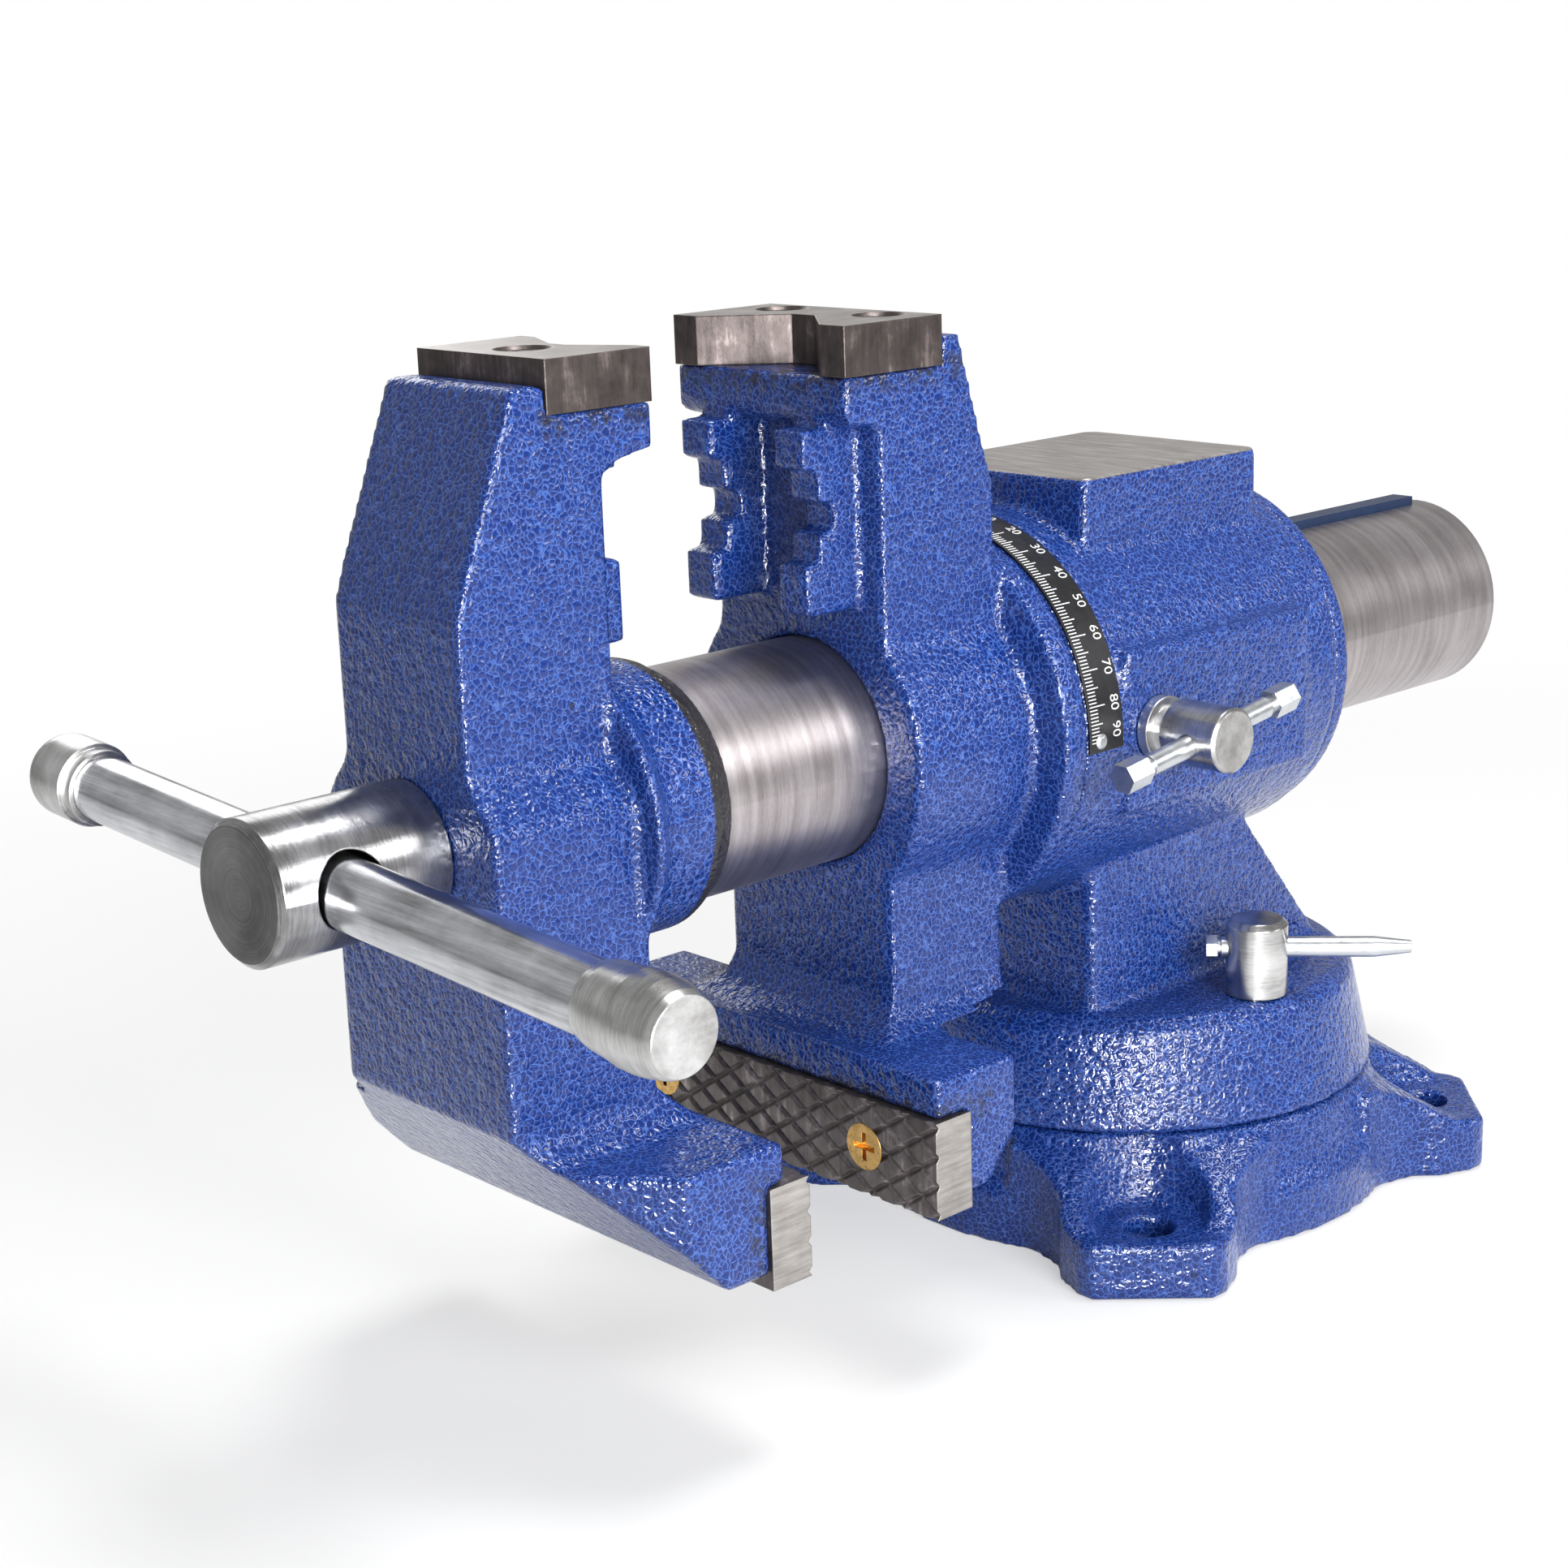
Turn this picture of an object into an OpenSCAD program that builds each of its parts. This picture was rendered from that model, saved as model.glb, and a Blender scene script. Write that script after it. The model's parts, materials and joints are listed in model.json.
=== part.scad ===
// Swivel bench vise with a rotating head, serrated jaws below and V jaws above.
// Origin: bottom centre of the base on the swivel axis. +Z is up, the handle is towards -Y.

/* [Main heights and places] */
// Height of the spindle axis above the bench
axis_h = 144; // [135:1:165]
// Opening between the serrated jaws
jaw_gap = 41; // [20:1:60]
// Distance from the swivel axis to the rear serrated face
rear_face_y = 140; // [132:1:150]

/* [Base] */
// Radius of the ring that the turntable sits on
ring_r = 70; // [66:0.5:74]
// Height of the ring's top face
ring_h = 32.5; // [30:0.5:36]
// Radius of the skirt at the bench
skirt_r = 75; // [72:0.5:80]
// Radius of the bolt circle
bolt_circle_r = 86.4; // [84:0.2:92]
// Radius of a bolt hole
bolt_hole_r = 6.5; // [5:0.1:8]
// Number of bolt lugs
lug_count = 4; // [3:1:5]
// Thickness of a lug
lug_h = 15; // [12:0.5:18]
// Width of a lug
lug_w = 38; // [34:1:44]
// Distance from the swivel axis to a lug's end face
lug_end_r = 100.5; // [98:0.5:106]
// Radius of the centre spigot
spigot_r = 22; // [18:0.5:26]

/* [Turntable and barrel] */
// Radius of the turntable's top edge
table_top_r = 63.4; // [62:0.2:68]
// Height of the turntable's top face above the bench
table_top_h = 62.6; // [58:0.2:66]
// Width of the pedestal
pedestal_w = 66; // [60:1:70]
// Outer radius of the barrel
barrel_r = 52; // [50:0.5:54]
// Distance from the swivel axis to the barrel's front end
barrel_front = 72.5; // [70:0.5:73]
// Distance from the swivel axis to the barrel's rear end
barrel_rear = 33; // [26:0.5:40]
// Radius of the head's sleeve in the barrel
sleeve_r = 40; // [38:0.5:42]
// Width of the anvil
anvil_w = 60; // [50:1:66]
// Length of the anvil
anvil_l = 70.5; // [60:0.5:76]
// Height of the anvil above the spindle axis
anvil_h = 61.2; // [56:0.2:66]
// Width of the degree scale
scale_w = 12.9; // [10:0.1:13]

/* [Slide and spindle] */
// Radius of the slide tube
tube_r = 28.6; // [27:0.1:30]
// Radius of the tube's bore
tube_bore_r = 21; // [20:0.5:22]
// Distance from the swivel axis to the tube's rear end
tube_rear = 138.7; // [134:0.5:150]
// Radius of the spindle's rod
rod_r = 11; // [9:0.5:12]
// Radius of the spindle's head
head_r = 16.6; // [15:0.2:19]
// Length of the spindle's head
head_l = 44; // [40:1:50]
// Radius of the handle bar
bar_r = 8; // [7:0.2:9]
// Length of the handle over its knobs
handle_l = 236; // [220:1:260]
// Radius of a handle knob
knob_r = 10.2; // [9.6:0.1:11.5]
// Angle of the handle below level on its right side
handle_tilt = 3; // [0:1:5]

/* [Jaws] */
// Length of a serrated plate
plate_l = 125; // [120:1:140]
// Height of a serrated plate
plate_h = 24.6; // [22:0.2:26]
// Thickness of a serrated plate
plate_t = 12; // [10:0.2:13]
// Distance from the spindle axis down to a serrated plate's top
plate_drop = 77.9; // [76:0.1:82]
// Height of the V plates' top faces above the spindle axis
v_top_h = 107.2; // [104:0.2:114]
// Thickness of the V plates
v_plate_t = 12; // [10:0.2:13]
// Width of the rear V plate
rear_v_w = 60.3; // [56:0.1:64]
// Depth of the rear V plate
rear_v_d = 32.2; // [30:0.2:33]
// Width of the front V plate
front_v_w = 46.4; // [44:0.2:52]
// Depth of the front V plate
front_v_d = 29.2; // [28:0.2:31]

/* [Locks] */
// Radius of a lock screw's head
lock_head_r = 8.3; // [7.6:0.1:9]
// Radius of a lock screw's shank
lock_shank_r = 6; // [5:0.2:6.6]
// Radius of a lock T-bar
tee_bar_r = 2.8; // [2.4:0.1:3.2]
// Distance from the swivel axis to the swivel lock screws
swivel_lock_r = 53; // [51:0.5:54]

/* [Hidden] */

// Clearances
run_gap = 0.08;
seat_gap = 0.3;
press_gap = 0.02;
over = 1;
skin = 0.01;
wide = 400;
round_fn = 96;
soft_fn = 32;
hex_fn = 6;

// Colours
paint = "#3a5fb8";
bright = "#c4c4c0";
ground = "#8d8a88";
dark_steel = "#4a4644";
black_strip = "#1c1c1e";
zinc_yellow = "#c9a45a";
brass = "#b8954a";

// Base
underside_d = 4;
rim_w = 12;
tee_slot_room = 0.4;
tee_slot_half = lock_shank_r + tee_slot_room;
tee_slot_top = 8.5;
tee_room_half = 10;
tee_room_h = 12;
spigot_h = 12;
scoop_r = 14.5;
scoop_grow = 6;
scoop_sink = 0.4;
lug_fillet = 26;
lug_flare = 4;
lug_round = 3;
lug_root_x = 40;
ramp_end = 7;
fillet_sink = 0.6;
fillet_root_share = 0.7;
lug_side = lug_w / 2 + lug_flare + lug_fillet - fillet_sink;
lug_reach = skirt_r + lug_fillet - fillet_sink;
lug_along = sqrt(lug_reach * lug_reach - lug_side * lug_side);
step_h = 19;
edge_round = 3;
edge_large = edge_round * 3;
edge_half = edge_round / 2;
edge_small = edge_round / 3;
edge_fine = edge_round / 4;

// Turntable and pedestal
table_under_h = ring_h + seat_gap;
pedestal_front = 50;
pedestal_top_rear = 13;
pedestal_foot_rear = 47;
pedestal_round = 3;
pedestal_back_share = 0.76;
pad_half = 21;
pad_rise = 0.4;
pad_x = barrel_r + pad_rise;
pad_front = 58;
pad_rear = 16;
anvil_front = 48.9;
barrel_taper = 1.5;
barrel_round = 2;
scale_t = 0.5;
scale_sweep = 186;
scale_shoulder_gap = 0.1;
rivet_r = 2.1;
rivet_dome = 0.7;
rivet_depth = 3;
rivet_shank_share = 0.6;
rivet_shank_r = rivet_r * rivet_shank_share;
rivet_place_share = 0.35;

// Head casting
flange_t = 9;
flange_front = barrel_front + seat_gap + flange_t;
column_rear = flange_front;
column_front = 121;
column_half = 30;
boss_r = 41.5;
v_seat_h = v_top_h - v_plate_t;
lip_drop = 12.2;
shoulder_rise = 6.8;
back_mid_drop = 20;
back_bend_drop = 39;
shoulder_h = v_seat_h + shoulder_rise;
lip_bottom = v_seat_h - lip_drop;
back_mid_h = shoulder_h - back_mid_drop;
back_bend_h = shoulder_h - back_bend_drop;
cheek_h = 44.5;
cheek_bottom = lip_bottom - cheek_h;
rear_v_y = 131.7;
lip_front = rear_v_y;
shoulder_y = 93.4;
back_mid_y = 87.7;
bar_top = 68.2;
bar_end_gap = 0.5;
bar_bottom = 98.7;
bar_lip = 1.5;
rear_bar_y = 111.3;
bar_chamfer_y = 120.8;
bar_chamfer_h = 87.4;
outline_fillet = 9;
cheek_in = 11;
cheek_out = 22;
cheek_h_shares = [0.285, 0.165, 0.155, 0.175, 0.22];
tongue_h_shares = [0.44, 0.11, 0.23, 0.12, 0.1];
tooth_step = 4.8;
tooth_face_y = 138;
cheek_embed = 2;
sleeve_end = barrel_rear + seat_gap;

// Ring and nut
cap_r = 48.8;
cap_t = 6.1;
cap_screw_r = 2;
cap_screw_head_r = 3.6;
cap_screw_l = 16;
cap_screw_circle = 34.3;
cap_screw_count = 3;
cap_screw_turn = 45;
nut_front = 24;
nut_rear = 18;
nut_r = 17;
nut_foot_w = 12;
nut_foot_end = 35;
nut_screw_r = 2.5;
nut_screw_l = 9;
key_w = 7;
key_top = 31;
key_front = 26;
key_rear = 131.4;
key_seat = 24.6;
slot_gap = 0.25;

// Slide casting
front_v_back = 3.1;
front_column_back = 17.9;
front_column_reach = 59.4;
front_top_reach = 41.4;
front_bar_reach = 34;
front_tube_reach = 25;
front_shelf_rise = 6.5;
front_lip_drop = 11.7;
front_bend_drop = 41.7;
front_face_y = rear_face_y + jaw_gap;
front_v_y = front_face_y + front_v_back;
front_column_rear = front_face_y + front_column_back;
front_column_front = front_face_y + front_column_reach;
front_top_front = front_face_y + front_top_reach;
front_shelf_h = v_seat_h + front_shelf_rise;
front_lip_bottom = v_seat_h - front_lip_drop;
front_bend_h = front_shelf_h - front_bend_drop;
lower_half = 32;
neck_low = 6;
neck_high = 21;
neck_steps = 10;
front_bar_front = front_face_y + front_bar_reach;
front_bar_lip = 6.6;
under_h = 61;
under_y = 24.4;
tube_front = front_face_y + front_tube_reach;
boss_back = 5.5;
boss_len_y = front_face_y - boss_back;
front_boss_r = 33;
boss_band_w = 1.2;
boss_band_l = 4.6;
tongue_half = 9;
tongue_back = 2.4;
tongue_h = 44.5;
tongue_face_y = front_face_y + tongue_back;
tongue_bottom = front_lip_bottom - tongue_h;

// V plates
rear_v_depth = 15.4;
rear_v_mouth = 22;
rear_v_root = 4;
front_v_depth = 7.5;
front_v_mouth = 18;
front_v_root = 3;
v_screw_x = 17;
v_screw_back = 8;
v_screw_r = 4;
v_screw_head_r = 6.6;
v_screw_l = 24;
front_v_screw_back = v_screw_back + v_screw_r;
v_screw_sink_share = 0.125;
v_screw_sink = v_screw_head_r * v_screw_sink_share;

// Serrations and plate screws
groove_pitch = 6.2;
groove_half = 1;
groove_angle = 33;
plate_screw_x = 37.7;
plate_screw_r = 3;
plate_screw_head_r = 6;
plate_screw_l = 23;
plate_mid = plate_drop + plate_h / 2;
recess_w_share = 0.25;
recess_d_share = 0.8;
recess_reach_share = 0.6;

// Spindle and handle
handle_reach = 26;
spindle_front = front_column_front + seat_gap;
handle_y = spindle_front + handle_reach;
bar_hole_gap = 0.8;
bar_hole_rise = 0.7;
rod_rear = 108;
collar_l = 10;
collar_r = 18;
pin_r = 2.5;
head_chamfer = 1.5;
knob_l = 24;
knob_seat = 9;
bar_shift = 6;
dome_steps = 16;
dome_share = 0.85;
rim_share = 0.84;
neck_share = 0.9;
knob_foot_shares = [[1.06, 0], [1.15, 0.12]];
knob_swell_shares = [[0.95, 0.35], [1, 0.5], [1, 0.62], [0.97, 0.75], [0.88, 0.93], [0.8, 1]];

// Head lock
head_lock_y = 47;
head_lock_end = 77;
head_lock_head = 60;
head_lock_collar_t = 3;
head_lock_bar_x = 68.6;
head_lock_tip = 45;
head_lock_angle = 8;
head_lock_bar_l = 66;
tee_end_l = 8;
tee_end_r = 4;
tee_neck_r = 2.2;
tee_neck_l = 2;
pad_t = 4.4;

// Swivel lock
swivel_lock_y = 6.5;
swivel_head_h = 21;
swivel_bar_up = 12.8;
swivel_bar_angle = 42;
swivel_bar_short = 13.6;
swivel_bar_long = 43.6;
swivel_end_l = 3;
bar_tip_share = 0.6;
tee_small_share = 0.85;
tee_nut_half = 8.3;
tee_nut_t = 10;
tee_nut_bottom = ring_h - tee_slot_top - tee_nut_t - seat_gap;

// Places a child about the spindle axis, with its own z along +Y
module along_y(y) {
    translate([0, y, axis_h]) rotate([-90, 0, 0]) children();
}

// Turns a profile of (radius, y) points about the spindle axis
module turn_y() {
    translate([0, 0, axis_h]) rotate([-90, 0, 0]) rotate_extrude($fn = round_fn) children();
}

// Extrudes an outline of (y, z above the axis) points across X
module across_x(width, shift = 0) {
    translate([shift - width / 2, 0, axis_h]) rotate([90, 0, 90]) linear_extrude(width) children();
}

// Extrudes an outline of (x, z above the axis) points from y = from to y = to
module through_y(from, to) {
    translate([0, to, axis_h]) rotate([90, 0, 0]) linear_extrude(to - from) children();
}

// Square with its corners at (x0, y0) and (x1, y1)
module rect(x0, y0, x1, y1) {
    translate([x0, y0]) square([x1 - x0, y1 - y0]);
}

// Rounds the inner corners of an outline by r
module fillet_inside(r) {
    offset(r = -r, $fn = soft_fn) offset(delta = r) children();
}

// Countersunk screw, head face at the origin, shank along -Z, with a cross recess
module countersunk(head_r, shank_r, length) {
    cone_h = head_r - shank_r;
    bit_w = head_r * recess_w_share;
    bit_d = cone_h * recess_d_share;
    bit_reach = head_r * recess_reach_share;
    difference() {
        union() {
            translate([0, 0, -cone_h]) cylinder(h = cone_h, r1 = shank_r, r2 = head_r, $fn = round_fn);
            translate([0, 0, -length]) cylinder(h = length, r = shank_r, $fn = round_fn);
        }
        for (a = [0, 90]) rotate(a)
            translate([-bit_reach, -bit_w / 2, -bit_d]) cube([bit_reach * 2, bit_w, bit_d + over]);
    }
}

// Hole for a countersunk screw, with clearance all round
module countersunk_hole(head_r, shank_r, length) {
    cone_h = head_r - shank_r;
    translate([0, 0, -cone_h - press_gap])
        cylinder(h = cone_h, r1 = shank_r + press_gap, r2 = head_r + press_gap, $fn = round_fn);
    translate([0, 0, -press_gap - skin])
        cylinder(h = over, r = head_r + press_gap, $fn = round_fn);
    translate([0, 0, -length - seat_gap]) cylinder(h = length, r = shank_r + press_gap, $fn = round_fn);
}

// Base casting: skirt, lugs, ring with a tee slot, and centre spigot
module at_lugs() {
    for (i = [0 : lug_count - 1]) rotate((i * 2 + 1) * 180 / lug_count) children();
}

// Plan of a lug with its flared root, raised to a height
module lug_block(height) {
    linear_extrude(height) polygon([
        [lug_root_x, -lug_w / 2 - lug_flare], [lug_along, -lug_w / 2 - lug_flare],
        [lug_end_r - lug_round, -lug_w / 2], [lug_end_r, -lug_w / 2 + lug_round],
        [lug_end_r, lug_w / 2 - lug_round], [lug_end_r - lug_round, lug_w / 2],
        [lug_along, lug_w / 2 + lug_flare], [lug_root_x, lug_w / 2 + lug_flare]
    ]);
    lug_corner(height);
    mirror([0, 1, 0]) lug_corner(height);
}

// Concave corner between a lug's side and the skirt
module lug_corner(height) {
    difference() {
        linear_extrude(height) polygon([
            [lug_root_x, lug_w / 2], [lug_along, lug_w / 2], [lug_along, lug_side],
            [lug_along * fillet_root_share, lug_side * fillet_root_share]
        ]);
        translate([lug_along, lug_side, -over])
            cylinder(h = height + over * 2, r = lug_fillet, $fn = round_fn);
    }
}

// Lug cut by the ramp that runs up to the ring
module lug() {
    intersection() {
        lug_block(ring_h);
        rotate([90, 0, 0]) translate([0, 0, -ring_r]) linear_extrude(ring_r * 2) polygon([
            [0, 0], [lug_end_r + over, 0], [lug_end_r + over, lug_h],
            [bolt_circle_r + ramp_end, lug_h], [ring_r - edge_round, ring_h - edge_round],
            [0, ring_h - edge_round]
        ]);
    }
}

module base_casting() {
    color(paint) difference() {
        union() {
            rotate_extrude($fn = round_fn) polygon([
                [0, 0], [skirt_r, 0], [skirt_r, lug_h - edge_half], [skirt_r - edge_round, step_h],
                [ring_r + edge_half, step_h + edge_round], [ring_r, ring_h - edge_half],
                [ring_r - edge_small, ring_h], [0, ring_h]
            ]);
            at_lugs() lug();
            cylinder(h = ring_h + spigot_h, r = spigot_r, $fn = round_fn);
        }
        at_lugs() {
            translate([bolt_circle_r, 0, -over])
                cylinder(h = ring_h, r = bolt_hole_r, $fn = round_fn);
            translate([bolt_circle_r, 0, lug_h - scoop_sink])
                cylinder(h = ring_h, r1 = scoop_r, r2 = scoop_r + scoop_grow * 2, $fn = round_fn);
        }
        // Tee slot for the swivel locks
        rotate_extrude($fn = round_fn) translate([swivel_lock_r, 0]) {
            rect(-tee_slot_half, ring_h - tee_slot_top - over, tee_slot_half, ring_h + over);
            rect(-tee_room_half, ring_h - tee_slot_top - tee_room_h, tee_room_half, ring_h - tee_slot_top);
        }
        // Hollow underside
        translate([0, 0, -over]) cylinder(h = underside_d + over, r = skirt_r - rim_w, $fn = round_fn);
    }
}

// Swivel housing: turntable, pedestal, barrel and anvil in one casting
module pedestal() {
    intersection() {
        across_x(pedestal_w) polygon([
            [-pedestal_front, table_top_h - axis_h - over], [-pedestal_front, 0],
            [pedestal_top_rear, 0], [pedestal_top_rear, -barrel_r * pedestal_back_share],
            [pedestal_foot_rear, table_top_h - axis_h], [pedestal_foot_rear, table_top_h - axis_h - over]
        ]);
        linear_extrude(wide) offset(r = pedestal_round, $fn = soft_fn) offset(delta = -pedestal_round)
            rect(-pedestal_w / 2, -pedestal_front, pedestal_w / 2, pedestal_foot_rear);
    }
}

module anvil_block() {
    translate([0, 0, axis_h]) linear_extrude(anvil_h)
        offset(r = pedestal_round / 2, $fn = soft_fn) offset(delta = -pedestal_round / 2)
        rect(-anvil_w / 2, -anvil_front, anvil_w / 2, anvil_l - anvil_front);
}

module swivel_housing() {
    color(paint) difference() {
        union() {
            rotate_extrude($fn = round_fn) polygon([
                [0, table_under_h], [ring_r, table_under_h],
                [table_top_r + edge_small, table_top_h - edge_round],
                [table_top_r - edge_half, table_top_h - edge_fine],
                [table_top_r - edge_round, table_top_h], [0, table_top_h]
            ]);
            pedestal();
            turn_y() polygon([
                [0, -barrel_front], [barrel_r - scale_t, -barrel_front],
                [barrel_r - scale_t, scale_w - barrel_front], [barrel_r, scale_w - barrel_front],
                [barrel_r - barrel_taper, barrel_rear - barrel_round],
                [barrel_r - barrel_taper - barrel_round, barrel_rear], [0, barrel_rear]
            ]);
            anvil_block();
            across_x(pad_x * 2) rect(-pad_front, -pad_half, pad_rear, pad_half);
        }
        along_y(-barrel_front - over)
            cylinder(h = barrel_front + barrel_rear + over * 2, r = sleeve_r + run_gap, $fn = round_fn);
        translate([0, 0, -over])
            cylinder(h = ring_h + spigot_h + seat_gap + over, r = spigot_r + run_gap, $fn = round_fn);
        for (s = [-1, 1]) translate([s * swivel_lock_r, -swivel_lock_y, 0])
            cylinder(h = table_top_h + over, r = lock_shank_r + run_gap, $fn = round_fn);
        translate([0, -head_lock_y, axis_h]) rotate([0, 90, 0])
            cylinder(h = barrel_r + over * 2, r = lock_shank_r + run_gap, $fn = round_fn);
        scale_rivet_holes();
    }
}

// Degree scale: a thin strip round the front of the barrel
module degree_scale() {
    color(black_strip) difference() {
        translate([0, 0, axis_h]) rotate([-90, 0, 0]) rotate([0, 0, -90 - scale_sweep / 2])
            rotate_extrude(angle = scale_sweep, $fn = round_fn) rect(
                barrel_r - scale_t + run_gap, seat_gap - barrel_front,
                barrel_r, scale_w - barrel_front - scale_shoulder_gap
            );
        scale_rivet_holes();
    }
}

module at_scale_rivets() {
    for (s = [-1, 1]) translate([0, scale_w * rivet_place_share - barrel_front, axis_h])
        rotate([0, s * 90, 0]) children();
}

module scale_rivet_holes() {
    at_scale_rivets() translate([0, 0, barrel_r - rivet_depth - press_gap])
        cylinder(h = rivet_depth * 2, r = rivet_shank_r + press_gap, $fn = soft_fn);
}

module scale_rivets() {
    color(bright) at_scale_rivets() {
        translate([0, 0, barrel_r - rivet_depth])
            cylinder(h = rivet_depth + press_gap * 2, r = rivet_shank_r, $fn = soft_fn);
        translate([0, 0, barrel_r + press_gap])
            cylinder(h = rivet_dome, r1 = rivet_r, r2 = rivet_shank_r, $fn = soft_fn);
    }
}

// Tooth faces of a pipe jaw, from the bottom up, as (distance, height) points
function tooth_sum(i, shares) = i == 0 ? 0 : shares[i - 1] + tooth_sum(i - 1, shares);
function tooth_depth(i) = (2 - abs(i - 2)) * tooth_step;
function tooth_points(face, bottom, top, shares) = [
    for (i = [0 : len(shares) - 1]) for (e = [0, 1])
        [face - tooth_depth(i), bottom + (tooth_sum(i, shares) + e * shares[i]) * (top - bottom)]
];

// Rear jaw: column, lips, pipe jaw cheeks, lower bar, flange and sleeve
module rear_outline() {
    fillet_inside(outline_fillet) {
        rect(-column_half, -bar_bottom, column_half, v_top_h);
        circle(r = boss_r, $fn = round_fn);
        rect(-plate_l / 2 + bar_end_gap, -bar_bottom, plate_l / 2 - bar_end_gap, -bar_top);
    }
}

module rear_profile() {
    polygon([
        [-column_front, lip_bottom], [-lip_front + edge_round, lip_bottom],
        [-lip_front, lip_bottom + edge_round], [-lip_front, v_seat_h],
        [-rear_v_y + rear_v_d + seat_gap, v_seat_h], [-rear_v_y + rear_v_d + seat_gap, shoulder_h],
        [-shoulder_y, shoulder_h], [-back_mid_y, back_mid_h], [-column_rear, back_bend_h],
        [-column_rear, -bar_top + edge_round], [-rear_bar_y + edge_large, -bar_top],
        [-rear_bar_y, -bar_top], [-rear_bar_y, -bar_chamfer_h], [-bar_chamfer_y, -bar_bottom],
        [-rear_face_y + plate_t, -bar_bottom], [-rear_face_y + plate_t, -plate_drop],
        [-rear_face_y + bar_lip, -plate_drop], [-rear_face_y + bar_lip, -bar_top + edge_half],
        [-rear_face_y + bar_lip + edge_half, -bar_top],
        [-column_front - outline_fillet, -bar_top],
        [-column_front - edge_round, -bar_top + edge_round],
        [-column_front, -bar_top + outline_fillet]
    ]);
}

module cheek(x) {
    across_x(cheek_out - cheek_in, x) polygon(concat(
        [[cheek_embed - column_front, cheek_bottom]],
        [for (p = tooth_points(tooth_face_y, cheek_bottom, lip_bottom, cheek_h_shares)) [-p[0], p[1]]],
        [[cheek_embed - column_front, lip_bottom]]
    ));
}

module rear_plate_holes() {
    for (s = [-1, 1]) translate([s * plate_screw_x, -rear_face_y, axis_h - plate_mid])
        rotate([90, 0, 0]) countersunk_hole(plate_screw_head_r, plate_screw_r, plate_screw_l);
}

module rear_v_holes() {
    for (s = [-1, 1]) translate([s * v_screw_x, -rear_v_y + rear_v_d - v_screw_back, axis_h + v_top_h])
        countersunk_hole(v_screw_head_r, v_screw_r, v_screw_l);
}

module rear_jaw() {
    color(paint) difference() {
        union() {
            intersection() {
                through_y(-wide / 2, 0) rear_outline();
                across_x(plate_l) rear_profile();
            }
            for (s = [-1, 1]) cheek(s * (cheek_in + cheek_out) / 2);
            turn_y() polygon([
                [0, -column_front + cheek_embed], [boss_r - edge_round, -column_front + cheek_embed],
                [boss_r - edge_round, -flange_front], [barrel_r, -flange_front + edge_half],
                [barrel_r, -barrel_front - seat_gap], [sleeve_r, -barrel_front - seat_gap],
                [sleeve_r, sleeve_end], [0, sleeve_end]
            ]);
        }
        along_y(-wide / 2) cylinder(h = wide, r = tube_r + run_gap, $fn = round_fn);
        // Keyway for the slide key and pocket for the nut's foot
        translate([-key_w / 2 - slot_gap, -column_front + flange_t, axis_h])
            cube([key_w + slot_gap * 2, wide, key_top + slot_gap]);
        translate([-nut_foot_w / 2, -nut_front, axis_h - nut_foot_end])
            cube([nut_foot_w, nut_front + nut_rear, nut_foot_end]);
        translate([0, (nut_rear - nut_front) / 2, axis_h - sleeve_r - over])
            cylinder(h = sleeve_r, r = nut_screw_r + press_gap, $fn = soft_fn);
        rear_plate_holes();
        rear_v_holes();
        ring_screw_holes();
    }
}

// Retaining ring behind the barrel
module at_ring_screws() {
    for (i = [0 : cap_screw_count - 1]) along_y(sleeve_end + cap_t)
        rotate([0, 0, cap_screw_turn + i * 360 / cap_screw_count])
        translate([cap_screw_circle, 0, 0]) children();
}

module ring_screw_holes() {
    at_ring_screws() countersunk_hole(cap_screw_head_r, cap_screw_r, cap_screw_l);
}

module retaining_ring() {
    color(paint) difference() {
        turn_y() polygon([
            [tube_r + seat_gap, sleeve_end], [cap_r, sleeve_end],
            [cap_r, sleeve_end + cap_t - edge_half],
            [cap_r - edge_half, sleeve_end + cap_t], [tube_r + seat_gap, sleeve_end + cap_t]
        ]);
        translate([-key_w / 2 - slot_gap, 0, axis_h]) cube([key_w + slot_gap * 2, wide, key_top + slot_gap]);
        ring_screw_holes();
    }
}

module ring_screws() {
    color(dark_steel) at_ring_screws() countersunk(cap_screw_head_r, cap_screw_r, cap_screw_l);
}

// Spindle nut: threaded body inside the tube, with a foot through the tube's slot
module spindle_nut() {
    nut_l = nut_front + nut_rear;
    foot_w = nut_foot_w - press_gap * 2;
    color(brass) difference() {
        union() {
            along_y(-nut_front) cylinder(h = nut_l, r = nut_r, $fn = round_fn);
            translate([-foot_w / 2, -nut_front + press_gap, axis_h - nut_foot_end + press_gap])
                cube([foot_w, nut_l - press_gap * 2, nut_foot_end - nut_r / 2]);
        }
        along_y(-nut_front - over) cylinder(h = nut_l + over * 2, r = rod_r + run_gap, $fn = round_fn);
        translate([0, (nut_rear - nut_front) / 2, axis_h - sleeve_r])
            cylinder(h = sleeve_r - nut_foot_end + nut_screw_l, r = nut_screw_r + press_gap, $fn = soft_fn);
    }
}

module nut_screw() {
    color(dark_steel) translate([0, (nut_rear - nut_front) / 2, axis_h - sleeve_r + seat_gap])
        cylinder(h = nut_screw_l, r = nut_screw_r, $fn = soft_fn);
}

// V-notched plates on top of the jaws; y is measured back from the gripping face
module v_plate(width, depth, mouth, root, notch) {
    linear_extrude(v_plate_t) polygon([
        [-width / 2, 0], [-mouth, 0], [-root, notch], [root, notch], [mouth, 0], [width / 2, 0],
        [width / 2, depth], [-width / 2, depth]
    ]);
}

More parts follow.
